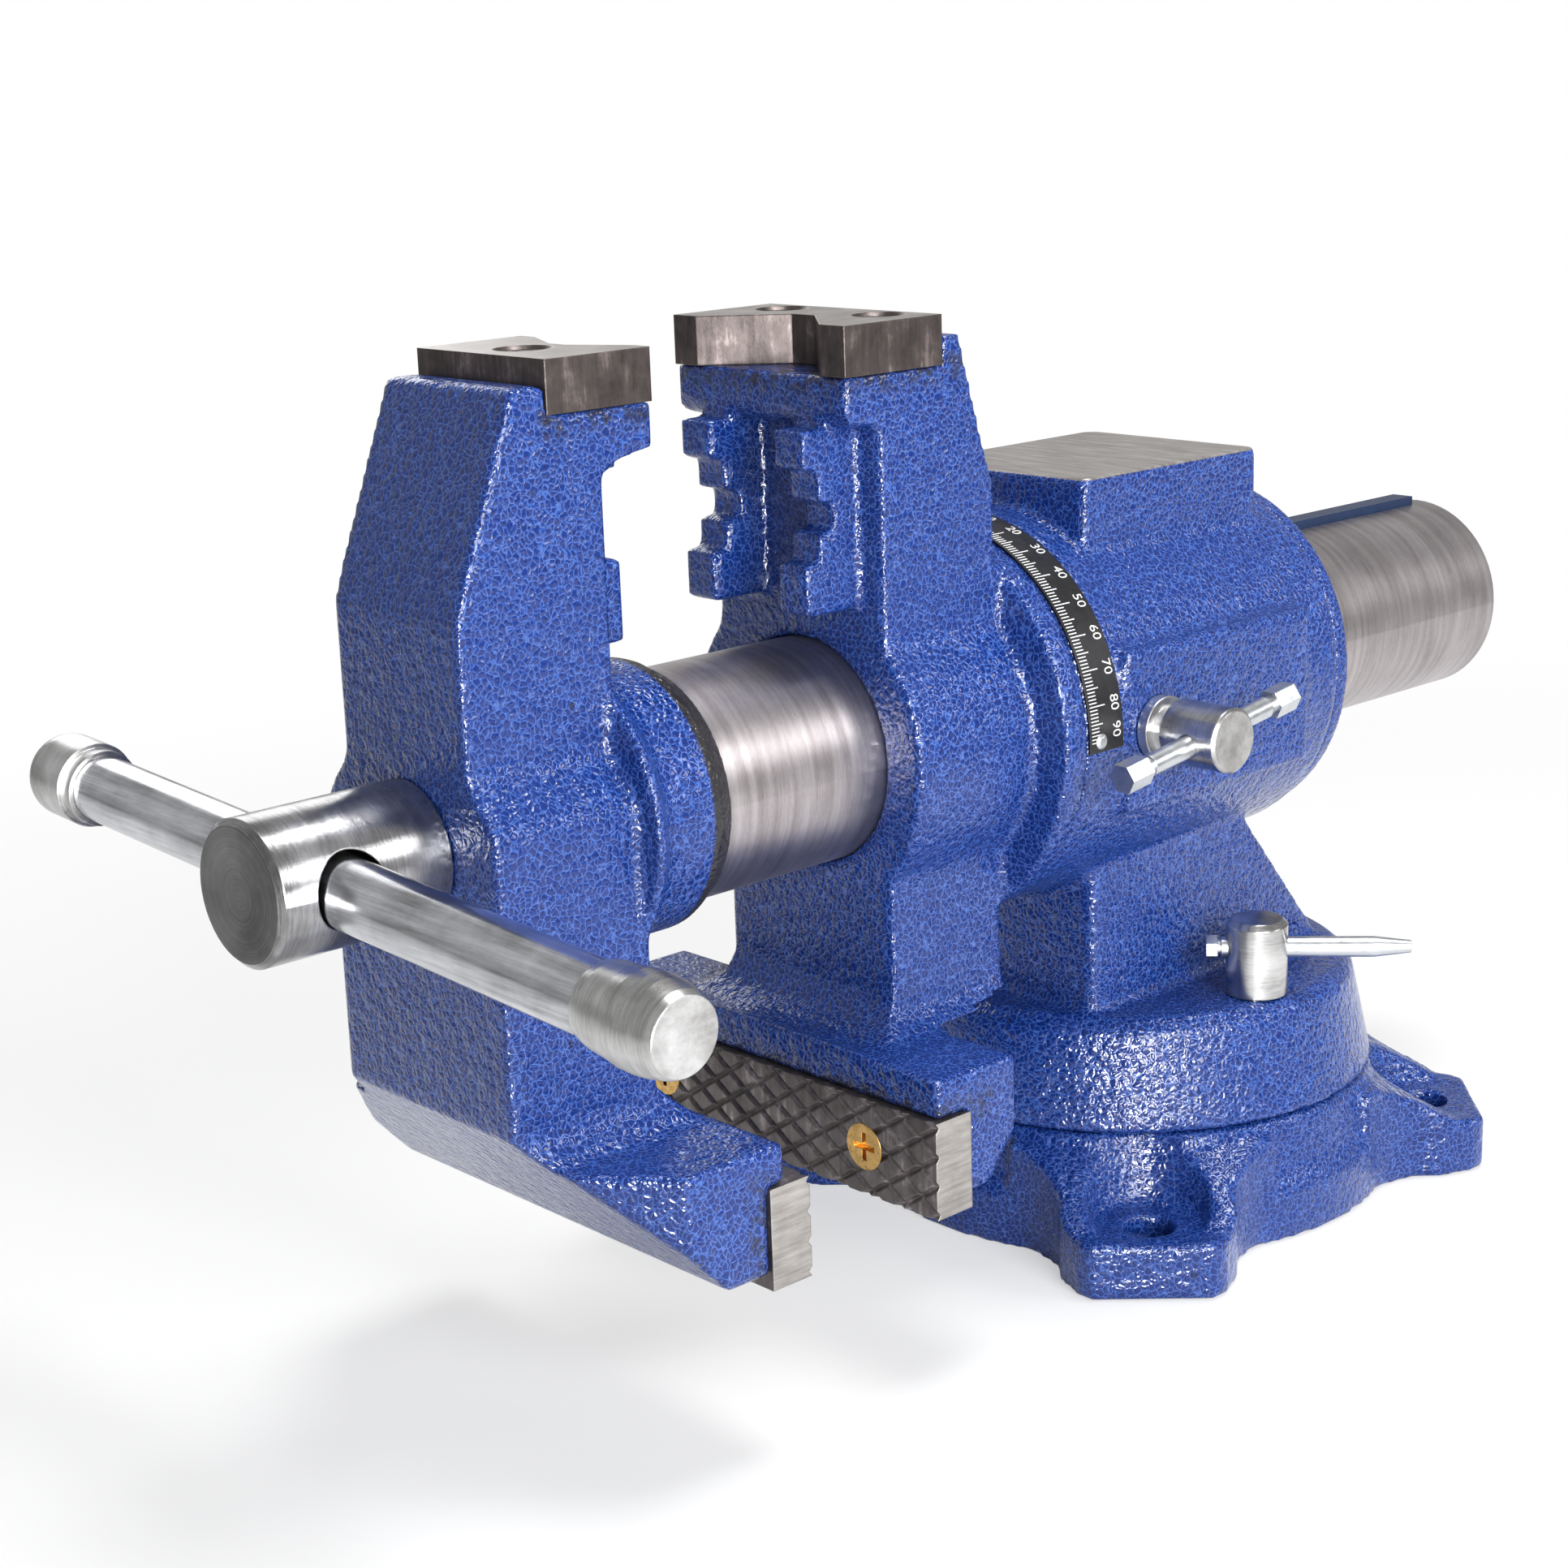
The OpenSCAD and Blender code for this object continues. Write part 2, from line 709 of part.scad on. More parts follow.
module rear_v_plate() {
    color(dark_steel) difference() {
        translate([0, -rear_v_y, axis_h + v_seat_h])
            v_plate(rear_v_w, rear_v_d, rear_v_mouth, rear_v_root, rear_v_depth);
        rear_v_holes();
    }
}

module rear_v_screws() {
    color(dark_steel) for (s = [-1, 1])
        translate([s * v_screw_x, -rear_v_y + rear_v_d - v_screw_back, axis_h + v_top_h - v_screw_sink])
            countersunk(v_screw_head_r - v_screw_sink, v_screw_r, v_screw_l - v_screw_r);
}

// Serrated plate, gripping face on y = 0 and body towards +Y, centre at the origin
module groove(i) {
    rotate([0, groove_angle, 0]) translate([0, 0, i * groove_pitch]) rotate([45, 0, 0])
        cube([wide, groove_half * sqrt(2), groove_half * sqrt(2)], center = true);
}

module serrated_plate() {
    n = ceil((plate_l / 2 * sin(groove_angle) + plate_h / 2 * cos(groove_angle)) / groove_pitch);
    difference() {
        translate([-plate_l / 2, 0, -plate_h / 2]) cube([plate_l, plate_t, plate_h]);
        for (i = [-n : n]) {
            groove(i);
            mirror([1, 0, 0]) groove(i);
        }
        for (s = [-1, 1]) translate([s * plate_screw_x, 0, 0])
            rotate([90, 0, 0]) countersunk_hole(plate_screw_head_r, plate_screw_r, plate_screw_l);
    }
}

module rear_serrated_plate() {
    color(dark_steel) translate([0, -rear_face_y, axis_h - plate_mid]) serrated_plate();
}

module rear_plate_screws() {
    color(zinc_yellow) for (s = [-1, 1]) translate([s * plate_screw_x, -rear_face_y, axis_h - plate_mid])
        rotate([90, 0, 0]) countersunk(plate_screw_head_r, plate_screw_r, plate_screw_l);
}

// Front jaw: column, tongue, lower bar and tube boss
function neck_points(s) = [
    for (i = [0 : neck_steps]) let (t = s > 0 ? 1 - i / neck_steps : i / neck_steps) [
        s * (lower_half + (front_v_w / 2 - lower_half) * (1 - cos(180 * t)) / 2),
        neck_low + (neck_high - neck_low) * t
    ]
];

module front_outline() {
    fillet_inside(outline_fillet) {
        polygon(concat(
            [[-lower_half, -bar_bottom]], neck_points(-1),
            [[-front_v_w / 2, v_top_h], [front_v_w / 2, v_top_h]], neck_points(1),
            [[lower_half, -bar_bottom]]
        ));
        rect(-plate_l / 2 + bar_end_gap, -bar_bottom, plate_l / 2 - bar_end_gap, -bar_top);
    }
}

module front_profile() {
    polygon([
        [-front_column_rear, front_lip_bottom - edge_round], [-front_v_y - edge_large, front_lip_bottom],
        [-front_v_y, front_lip_bottom + edge_half], [-front_v_y, v_seat_h],
        [-front_v_y - front_v_d - seat_gap, v_seat_h], [-front_v_y - front_v_d - seat_gap, front_shelf_h],
        [-front_top_front, front_shelf_h], [-front_column_front + edge_round, front_bend_h + edge_round],
        [-front_column_front, front_bend_h - edge_round * 2], [-front_column_front, -under_h],
        [-front_face_y - under_y, -bar_bottom],
        [-front_face_y - plate_t, -bar_bottom], [-front_face_y - plate_t, -plate_drop],
        [-front_face_y - front_bar_lip, -plate_drop], [-front_face_y - front_bar_lip, -bar_top],
        [-front_column_rear + outline_fillet, -bar_top], [-front_column_rear, -bar_top + outline_fillet]
    ]);
}

module front_plan() {
    polygon([
        [-plate_l / 2, -front_bar_front], [-lower_half, -front_column_front - over],
        [lower_half, -front_column_front - over], [plate_l / 2, -front_bar_front],
        [plate_l / 2, 0], [-plate_l / 2, 0]
    ]);
}

module front_plate_holes() {
    for (s = [-1, 1]) translate([s * plate_screw_x, -front_face_y, axis_h - plate_mid])
        rotate([-90, 0, 0])
        countersunk_hole(plate_screw_head_r, plate_screw_r, plate_screw_l - plate_screw_r);
}

module front_v_hole() {
    translate([0, front_v_screw_back - front_v_y - front_v_d, axis_h + v_top_h])
        countersunk_hole(v_screw_head_r, v_screw_r, v_screw_l);
}

module front_jaw() {
    color(paint) difference() {
        union() {
            intersection() {
                through_y(-wide, 0) front_outline();
                across_x(plate_l) front_profile();
                linear_extrude(wide) front_plan();
            }
            across_x(tongue_half * 2) polygon(concat(
                [[-front_column_rear - cheek_embed, tongue_bottom]],
                tooth_points(-tongue_face_y, tongue_bottom, front_lip_bottom, tongue_h_shares),
                [[-front_column_rear - cheek_embed, front_lip_bottom]]
            ));
            turn_y() polygon([
                [0, -front_column_rear - cheek_embed],
                [front_boss_r + edge_round * 2, -front_column_rear - cheek_embed],
                [front_boss_r + edge_round * 2, -front_column_rear],
                [front_boss_r, -front_column_rear + edge_round * 2],
                [front_boss_r, -boss_len_y - edge_small], [front_boss_r - edge_small, -boss_len_y],
                [tube_r + boss_band_w, -boss_len_y + boss_band_l], [0, -boss_len_y + boss_band_l]
            ]);
        }
        along_y(-tube_front) cylinder(h = wide, r = tube_r + press_gap, $fn = round_fn);
        along_y(-wide) cylinder(h = wide, r = rod_r + run_gap, $fn = round_fn);
        front_plate_holes();
        front_v_hole();
    }
}

// Slide tube with a slot below for the nut's foot and a seat above for the key
module slide_tube() {
    slot_half = nut_foot_w / 2 + slot_gap * 2;
    slot_front = nut_front + jaw_gap + over;
    color(ground) difference() {
        along_y(-tube_front) cylinder(h = tube_front + tube_rear, r = tube_r, $fn = round_fn);
        along_y(-tube_front - over) cylinder(h = wide + over, r = tube_bore_r, $fn = round_fn);
        translate([-slot_half, -slot_front, axis_h - tube_r - over])
            cube([slot_half * 2, wide, tube_r]);
        translate([-key_w / 2, -key_front, axis_h + key_seat])
            cube([key_w, key_front + key_rear, tube_r]);
    }
}

module slide_key() {
    color(dark_steel)
        translate([-key_w / 2 + press_gap, -key_front + press_gap, axis_h + key_seat + press_gap]) cube([
            key_w - press_gap * 2, key_front + key_rear - press_gap * 2, key_top - key_seat - press_gap
        ]);
}

module front_v_plate() {
    color(dark_steel) difference() {
        translate([0, -front_v_y, axis_h + v_seat_h]) mirror([0, 1, 0])
            v_plate(front_v_w, front_v_d, front_v_mouth, front_v_root, front_v_depth);
        front_v_hole();
    }
}

module front_v_screw() {
    color(dark_steel)
        translate([0, front_v_screw_back - front_v_y - front_v_d, axis_h + v_top_h - v_screw_sink])
            countersunk(v_screw_head_r - v_screw_sink, v_screw_r, v_screw_l - v_screw_r);
}

module front_serrated_plate() {
    color(dark_steel) translate([0, -front_face_y, axis_h - plate_mid])
        mirror([0, 1, 0]) serrated_plate();
}

module front_plate_screws() {
    color(zinc_yellow) for (s = [-1, 1]) translate([s * plate_screw_x, -front_face_y, axis_h - plate_mid])
        rotate([-90, 0, 0])
        countersunk(plate_screw_head_r, plate_screw_r, plate_screw_l - plate_screw_r - seat_gap);
}

// Spindle: head with the handle's cross hole, and threaded rod
module spindle() {
    color(bright) difference() {
        turn_y() polygon([
            [0, -spindle_front - head_l], [head_r - head_chamfer, -spindle_front - head_l],
            [head_r, -spindle_front - head_l + head_chamfer], [head_r, -spindle_front],
            [rod_r, -spindle_front], [rod_r, rod_rear - head_chamfer],
            [rod_r - head_chamfer, rod_rear], [0, rod_rear]
        ]);
        translate([0, -handle_y, axis_h + bar_hole_rise]) rotate([0, 90 + handle_tilt, 0])
            translate([0, 0, -head_l]) cylinder(h = head_l * 2, r = bar_r + bar_hole_gap, $fn = round_fn);
        collar_pin_hole();
    }
}

module collar_pin_hole() {
    translate([0, -tube_front + seat_gap + collar_l / 2, axis_h - collar_r - over])
        cylinder(h = collar_r * 2 + over * 2, r = pin_r + press_gap, $fn = soft_fn);
}

module spindle_collar() {
    color(bright) difference() {
        along_y(-tube_front + seat_gap) cylinder(h = collar_l, r = collar_r, $fn = round_fn);
        along_y(-tube_front) cylinder(h = collar_l + over, r = rod_r + press_gap, $fn = round_fn);
        collar_pin_hole();
    }
}

module collar_pin() {
    color(dark_steel) translate([0, -tube_front + seat_gap + collar_l / 2, axis_h - collar_r])
        cylinder(h = collar_r * 2, r = pin_r, $fn = soft_fn);
}

// Handle: bar with pressed-on knobs
module along_handle(shift) {
    translate([0, -handle_y, axis_h]) rotate([0, 90 + handle_tilt, 0])
        translate([0, 0, shift]) children();
}

module handle_bar() {
    color(bright) along_handle(bar_shift - handle_l / 2 + knob_l - knob_seat)
        cylinder(h = handle_l - knob_l * 2 + knob_seat * 2, r = bar_r, $fn = round_fn);
}

// Left knob: a domed cap with a square shoulder
module handle_knob_left() {
    color(bright) along_handle(bar_shift - handle_l / 2) difference() {
        rotate_extrude($fn = round_fn) polygon(concat(
            [for (i = [0 : dome_steps]) [
                knob_r * sin(90 * i / dome_steps),
                knob_r * dome_share * (1 - cos(90 * i / dome_steps))
            ]],
            [[knob_r, knob_l * rim_share], [knob_r * neck_share, knob_l * rim_share],
            [knob_r * neck_share, knob_l], [0, knob_l]]
        ));
        translate([0, 0, knob_l - knob_seat - press_gap])
            cylinder(h = knob_l, r = bar_r + press_gap, $fn = round_fn);
    }
}

// Right knob: a swelling that narrows again to a flat end
module handle_knob_right() {
    color(bright) along_handle(bar_shift + handle_l / 2 - knob_l) difference() {
        rotate_extrude($fn = round_fn) polygon(concat(
            [[0, 0]],
            [for (p = knob_foot_shares) [bar_r * p[0], knob_l * p[1]]],
            [for (p = knob_swell_shares) [knob_r * p[0], knob_l * p[1]]],
            [[0, knob_l]]
        ));
        translate([0, 0, -over])
            cylinder(h = knob_seat + over + press_gap, r = bar_r + press_gap, $fn = round_fn);
    }
}

// Lock T-bar along Z from -below to +above, with faceted ends on thin necks
module tee_bar(below, above, end_l) {
    translate([0, 0, -below]) cylinder(h = below + above, r = tee_neck_r, $fn = round_fn);
    translate([0, 0, -below + end_l + tee_neck_l])
        cylinder(h = below + above - (end_l + tee_neck_l) * 2, r = tee_bar_r, $fn = round_fn);
    for (z = [-below, above - end_l]) translate([0, 0, z])
        cylinder(h = end_l, r = tee_end_r, $fn = hex_fn);
}

// Cross hole for a T-bar through a lock screw's head
module tee_bar_hole() {
    translate([0, 0, -head_r]) cylinder(h = head_r * 2, r = tee_bar_r + run_gap, $fn = round_fn);
}

// Head lock: screw through the barrel's side on to a brass pad
module head_lock_axis() {
    translate([0, -head_lock_y, axis_h]) rotate([0, 90, 0]) children();
}

module head_lock_bar_axis() {
    translate([head_lock_bar_x, -head_lock_y, axis_h]) rotate([head_lock_angle - 90, 0, 0]) children();
}

module head_lock_screw() {
    color(bright) difference() {
        head_lock_axis() rotate_extrude($fn = round_fn) polygon([
            [0, head_lock_tip], [lock_shank_r, head_lock_tip], [lock_shank_r, pad_x + seat_gap],
            [lock_head_r, pad_x + seat_gap], [lock_head_r, pad_x + seat_gap + head_lock_collar_t],
            [lock_shank_r, pad_x + seat_gap + head_lock_collar_t], [lock_shank_r, head_lock_head],
            [lock_head_r, head_lock_head], [lock_head_r, head_lock_end - head_chamfer / 2],
            [lock_head_r - head_chamfer / 2, head_lock_end], [0, head_lock_end]
        ]);
        head_lock_bar_axis() tee_bar_hole();
    }
}

module head_lock_bar() {
    color(bright) head_lock_bar_axis() tee_bar(head_lock_bar_l / 2, head_lock_bar_l / 2, tee_end_l);
}

module head_lock_pad() {
    color(brass) head_lock_axis() translate([0, 0, head_lock_tip - seat_gap - pad_t])
        cylinder(h = pad_t, r = lock_shank_r - press_gap, $fn = round_fn);
}

// Swivel lock on one side: s = 1 is the +X side
module swivel_lock(s) {
    color(bright) translate([s * swivel_lock_r, -swivel_lock_y, 0]) difference() {
        rotate_extrude($fn = round_fn) polygon([
            [0, tee_nut_bottom], [lock_shank_r, tee_nut_bottom], [lock_shank_r, table_top_h + seat_gap],
            [lock_head_r, table_top_h + seat_gap], [lock_head_r, table_top_h + swivel_head_h - head_chamfer],
            [lock_head_r - head_chamfer, table_top_h + swivel_head_h], [0, table_top_h + swivel_head_h]
        ]);
        swivel_bar_axis(s) tee_bar_hole();
    }
}

module swivel_bar_axis(s) {
    translate([0, 0, table_top_h + swivel_bar_up])
        rotate([0, 90, s > 0 ? swivel_bar_angle : 180 - swivel_bar_angle]) children();
}

module swivel_bar(s) {
    color(bright) translate([s * swivel_lock_r, -swivel_lock_y, 0]) swivel_bar_axis(s) {
        translate([0, 0, -swivel_bar_short])
            cylinder(h = swivel_end_l + tee_neck_l, r = tee_neck_r, $fn = round_fn);
        translate([0, 0, -swivel_bar_short + swivel_end_l + tee_neck_l / 2])
            rotate_extrude($fn = round_fn) polygon([
                [0, 0], [tee_bar_r, 0], [tee_bar_r, swivel_bar_long - swivel_end_l],
                [tee_bar_r * bar_tip_share, swivel_bar_long + swivel_bar_short / 2],
                [0, swivel_bar_long + swivel_bar_short / 2]
            ]);
        translate([0, 0, -swivel_bar_short])
            cylinder(h = swivel_end_l, r = tee_end_r * tee_small_share, $fn = hex_fn);
    }
}

module swivel_lock_right() { swivel_lock(1); }
module swivel_bar_right() { swivel_bar(1); }
module swivel_lock_left() { swivel_lock(-1); }
module swivel_bar_left() { swivel_bar(-1); }

// Tee nuts in the base's ring groove
module tee_nuts() {
    tee_nut_w = tee_nut_half * 2;
    color(dark_steel) for (s = [-1, 1])
        translate([s * swivel_lock_r, -swivel_lock_y, tee_nut_bottom]) difference() {
            rotate([0, 0, -s * atan(swivel_lock_y / swivel_lock_r)])
                translate([-tee_nut_half, -tee_nut_half, 0]) cube([tee_nut_w, tee_nut_w, tee_nut_t]);
            translate([0, 0, -over])
                cylinder(h = tee_nut_t + over * 2, r = lock_shank_r + run_gap, $fn = round_fn);
        }
}

base_casting();
swivel_housing();
degree_scale();
scale_rivets();
rear_jaw();
retaining_ring();
ring_screws();
spindle_nut();
nut_screw();
rear_v_plate();
rear_v_screws();
rear_serrated_plate();
rear_plate_screws();
front_jaw();
slide_tube();
slide_key();
front_v_plate();
front_v_screw();
front_serrated_plate();
front_plate_screws();
spindle();
spindle_collar();
collar_pin();
handle_bar();
handle_knob_left();
handle_knob_right();
head_lock_screw();
head_lock_bar();
head_lock_pad();
swivel_lock_right();
swivel_bar_right();
swivel_lock_left();
swivel_bar_left();
tee_nuts();
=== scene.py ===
"""Looks of a swivel bench vise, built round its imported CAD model."""

import json
import logging
import math
from dataclasses import dataclass
from enum import Enum
from typing import Sequence

import bpy
from mathutils import Matrix, Vector

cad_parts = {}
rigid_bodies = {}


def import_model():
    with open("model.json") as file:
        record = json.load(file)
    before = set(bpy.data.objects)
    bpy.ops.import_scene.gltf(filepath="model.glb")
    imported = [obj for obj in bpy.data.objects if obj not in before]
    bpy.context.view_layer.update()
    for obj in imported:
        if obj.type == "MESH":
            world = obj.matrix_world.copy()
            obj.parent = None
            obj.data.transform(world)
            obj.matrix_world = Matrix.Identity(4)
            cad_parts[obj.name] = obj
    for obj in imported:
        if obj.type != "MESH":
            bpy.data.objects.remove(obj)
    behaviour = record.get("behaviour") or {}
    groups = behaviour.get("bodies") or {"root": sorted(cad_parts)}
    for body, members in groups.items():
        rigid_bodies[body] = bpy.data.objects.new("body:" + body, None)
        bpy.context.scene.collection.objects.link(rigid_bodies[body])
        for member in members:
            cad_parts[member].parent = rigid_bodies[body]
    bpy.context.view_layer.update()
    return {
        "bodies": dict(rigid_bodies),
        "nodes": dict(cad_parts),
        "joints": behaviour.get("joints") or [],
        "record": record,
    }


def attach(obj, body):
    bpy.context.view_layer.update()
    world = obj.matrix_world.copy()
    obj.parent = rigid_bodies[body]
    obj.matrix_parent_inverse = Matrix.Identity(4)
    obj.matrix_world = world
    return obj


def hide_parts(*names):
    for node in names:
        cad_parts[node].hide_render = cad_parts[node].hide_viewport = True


LOG = logging.getLogger("vise")

RGB = tuple[float, float, float]
RGBA = tuple[float, float, float, float]
Point = tuple[float, float, float]
Socket = bpy.types.NodeSocket

# Places in metres in the part's frame: the spindle's axis, the barrel and its scale strip
AXIS_H = 0.144
AXIS_POINT: Point = (0, 0, AXIS_H)
BARREL_R = 0.052
SCALE_FRONT = -0.0722
SCALE_REAR = -0.0597


def linear(red: int, green: int, blue: int) -> RGBA:
    """Turns an 8-bit display colour into Blender's linear one.

    Args:
        red: Red from 0 to 255.
        green: Green from 0 to 255.
        blue: Blue from 0 to 255.

    Returns:
        The linear colour with alpha 1.
    """
    def one(value: int) -> float:
        """Returns one channel in linear light, by the sRGB curve."""
        c = value / 255
        return c / 12.92 if c <= 0.04045 else ((c + 0.055) / 1.055) ** 2.4

    return one(red), one(green), one(blue), 1.0


def tint(red: int, green: int, blue: int) -> RGB:
    """Returns an 8-bit display colour in linear light, without alpha."""
    return linear(red, green, blue)[:3]


def opaque(colour: Sequence[float]) -> RGBA:
    """Returns a colour with alpha 1."""
    return (*colour, 1.0)


class Axis(Enum):
    """An axis of the part's frame, by its place in a vector."""

    X = 0
    Y = 1
    Z = 2


class Nodes:
    """Builds one material's node tree with short calls."""

    def __init__(self, name: str) -> None:
        """Starts an empty material with a Principled shader.

        Args:
            name: The material's name.
        """
        self.material = bpy.data.materials.new(name)
        self.material.use_nodes = True
        self.tree = self.material.node_tree
        self.tree.nodes.clear()
        self.output = self.add("ShaderNodeOutputMaterial")
        self.shader = self.add("ShaderNodeBsdfPrincipled")
        self.link(self.shader.outputs[0], self.output.inputs[0])
        self.place = self.add("ShaderNodeTexCoord").outputs["Object"]

    def add(self, kind: str, **values: object) -> bpy.types.Node:
        """Adds a node and sets its properties.

        Args:
            kind: The node's type.
            values: Properties of the node.

        Returns:
            The new node.
        """
        made = self.tree.nodes.new(kind)
        for key, value in values.items():
            setattr(made, key, value)
        return made

    def link(self, source: Socket, target: Socket) -> None:
        """Links two sockets."""
        self.tree.links.new(source, target)

    def put(self, target: Socket, value: object) -> None:
        """Links a socket or sets a plain value.

        Args:
            target: The socket to feed.
            value: A socket, a number or a colour.
        """
        if isinstance(value, bpy.types.NodeSocket):
            self.link(value, target)
        else:
            target.default_value = value

    def surface(self, **values: object) -> None:
        """Feeds inputs of the Principled shader.

        Args:
            values: Sockets or plain values by the input's name, with _ for a space.
        """
        for name, value in values.items():
            self.put(self.shader.inputs[name.replace("_", " ")], value)

    def math(self, operation: str, *values: object) -> Socket:
        """Adds a math node.

        Args:
            operation: The operation's name.
            values: Up to three numbers or sockets.

        Returns:
            The result's socket.
        """
        made = self.add("ShaderNodeMath", operation=operation)
        for socket, value in zip(made.inputs, (*values, 0.0, 0.0)):
            self.put(socket, value)
        return made.outputs[0]

    def times(self, first: object, second: object) -> Socket:
        """Returns the product of two numbers or sockets."""
        return self.math("MULTIPLY", first, second)

    def vector(self, operation: str, *values: object) -> bpy.types.Node:
        """Adds a vector math node.

        Args:
            operation: The operation's name.
            values: Vectors or sockets, in the order of the node's inputs.

        Returns:
            The new node.
        """
        made = self.add("ShaderNodeVectorMath", operation=operation)
        for socket, value in zip(made.inputs, values):
            self.put(socket, value)
        return made

    def scaled(self, scale: Sequence[float]) -> Socket:
        """Stretches the object coordinates.

        Args:
            scale: A factor for each axis.

        Returns:
            The coordinates' socket.
        """
        made = self.add("ShaderNodeMapping")
        self.link(self.place, made.inputs["Vector"])
        made.inputs["Scale"].default_value = scale
        return made.outputs[0]

    def noise(self, scale: float, detail: float = 3.0, rough: float = 0.5,
              place: Socket | None = None) -> Socket:
        """Adds a noise texture.

        Args:
            scale: Cells a metre.
            detail: Octaves.
            rough: How strong the fine octaves are.
            place: Coordinates, or the object's own.

        Returns:
            The factor's socket.
        """
        made = self.add("ShaderNodeTexNoise")
        self.link(place or self.place, made.inputs["Vector"])
        made.inputs["Scale"].default_value = scale
        made.inputs["Detail"].default_value = detail
        made.inputs["Roughness"].default_value = rough
        return made.outputs[0]

    def cells(self, scale: float, feature: str, place: Socket) -> Socket:
        """Adds a Voronoi texture.

        Args:
            scale: Cells a metre.
            feature: What the texture measures.
            place: Its coordinates.

        Returns:
            The distance's socket.
        """
        made = self.add("ShaderNodeTexVoronoi", feature=feature)
        self.link(place, made.inputs["Vector"])
        made.inputs["Scale"].default_value = scale
        return made.outputs["Distance"]

    def ramp(self, factor: Socket, stops: Sequence[tuple[float, RGBA]]) -> Socket:
        """Adds a colour ramp.

        Args:
            factor: The value to look up.
            stops: Pairs of place and colour.

        Returns:
            The colour's socket.
        """
        made = self.add("ShaderNodeValToRGB")
        ramp = made.color_ramp
        while len(ramp.elements) < len(stops):
            ramp.elements.new(0.5)
        for element, (where, colour) in zip(ramp.elements, stops):
            element.position = where
            element.color = colour
        self.link(factor, made.inputs[0])
        return made.outputs[0]

    def mix(self, factor: object, first: object, second: object, blend: str = "MIX") -> Socket:
        """Mixes two colours.

        Args:
            factor: Share of the second colour, as a number or a socket.
            first: The first colour.
            second: The second colour.
            blend: How they are mixed.

        Returns:
            The result's socket.
        """
        made = self.add("ShaderNodeMix", data_type="RGBA", blend_type=blend)
        self.put(made.inputs[0], factor)
        self.put(made.inputs[6], first)
        self.put(made.inputs[7], second)
        return made.outputs[2]

    def span(self, value: Socket, low: float, high: float,
             to_low: float = 0.0, to_high: float = 1.0) -> Socket:
        """Maps a value's range smoothly on to another range.

        Args:
            value: The value to map.
            low: Start of its range.
            high: End of its range.
            to_low: Start of the new range.
            to_high: End of the new range.

        Returns:
            The result's socket.
        """
        made = self.add("ShaderNodeMapRange", interpolation_type="SMOOTHSTEP")
        self.link(value, made.inputs[0])
        for socket, number in zip(made.inputs[1:5], (low, high, to_low, to_high)):
            socket.default_value = number
        return made.outputs[0]

    def bump(self, height: Socket, distance: float, strength: float,
             below: Socket | None = None) -> Socket:
        """Adds a bump node.

        Args:
            height: The height's socket.
            distance: Depth in metres.
            strength: Share of the depth that shows.
            below: A normal to build on.

        Returns:
            The normal's socket.
        """
        made = self.add("ShaderNodeBump")
        made.inputs["Strength"].default_value = strength
        made.inputs["Distance"].default_value = distance
        self.link(height, made.inputs["Height"])
        if below is not None:
            self.link(below, made.inputs["Normal"])
        return made.outputs[0]

    def soft_edges(self, radius: float) -> Socket:
        """Rounds sharp edges in the shading alone.

        Args:
            radius: The rounding's radius in metres.

        Returns:
            The normal's socket.
        """
        made = self.add("ShaderNodeBevel", samples=6)
        made.inputs["Radius"].default_value = radius
        return made.outputs[0]

    def xyz(self) -> tuple[Socket, Socket, Socket]:
        """Splits the object coordinates.

        Returns:
            The sockets of x, y and z.
        """
        made = self.add("ShaderNodeSeparateXYZ")
        self.link(self.place, made.inputs[0])
        return made.outputs[0], made.outputs[1], made.outputs[2]

    def facing(self, axis: Axis) -> Socket:
        """Reads how far a face looks along an axis of the piece.

        Args:
            axis: The axis.

        Returns:
            The socket of the true normal's part along it, from -1 to 1.
        """
        turn = self.add("ShaderNodeVectorTransform", vector_type="NORMAL",
                        convert_from="WORLD", convert_to="OBJECT")
        self.link(self.add("ShaderNodeNewGeometry").outputs["True Normal"], turn.inputs[0])
        made = self.add("ShaderNodeSeparateXYZ")
        self.link(turn.outputs[0], made.inputs[0])
        return made.outputs[axis.value]


@dataclass(frozen=True)
class Region:
    """A box in the part's frame that bounds a patch of finish or a machined slot."""

    low: Point
    high: Point


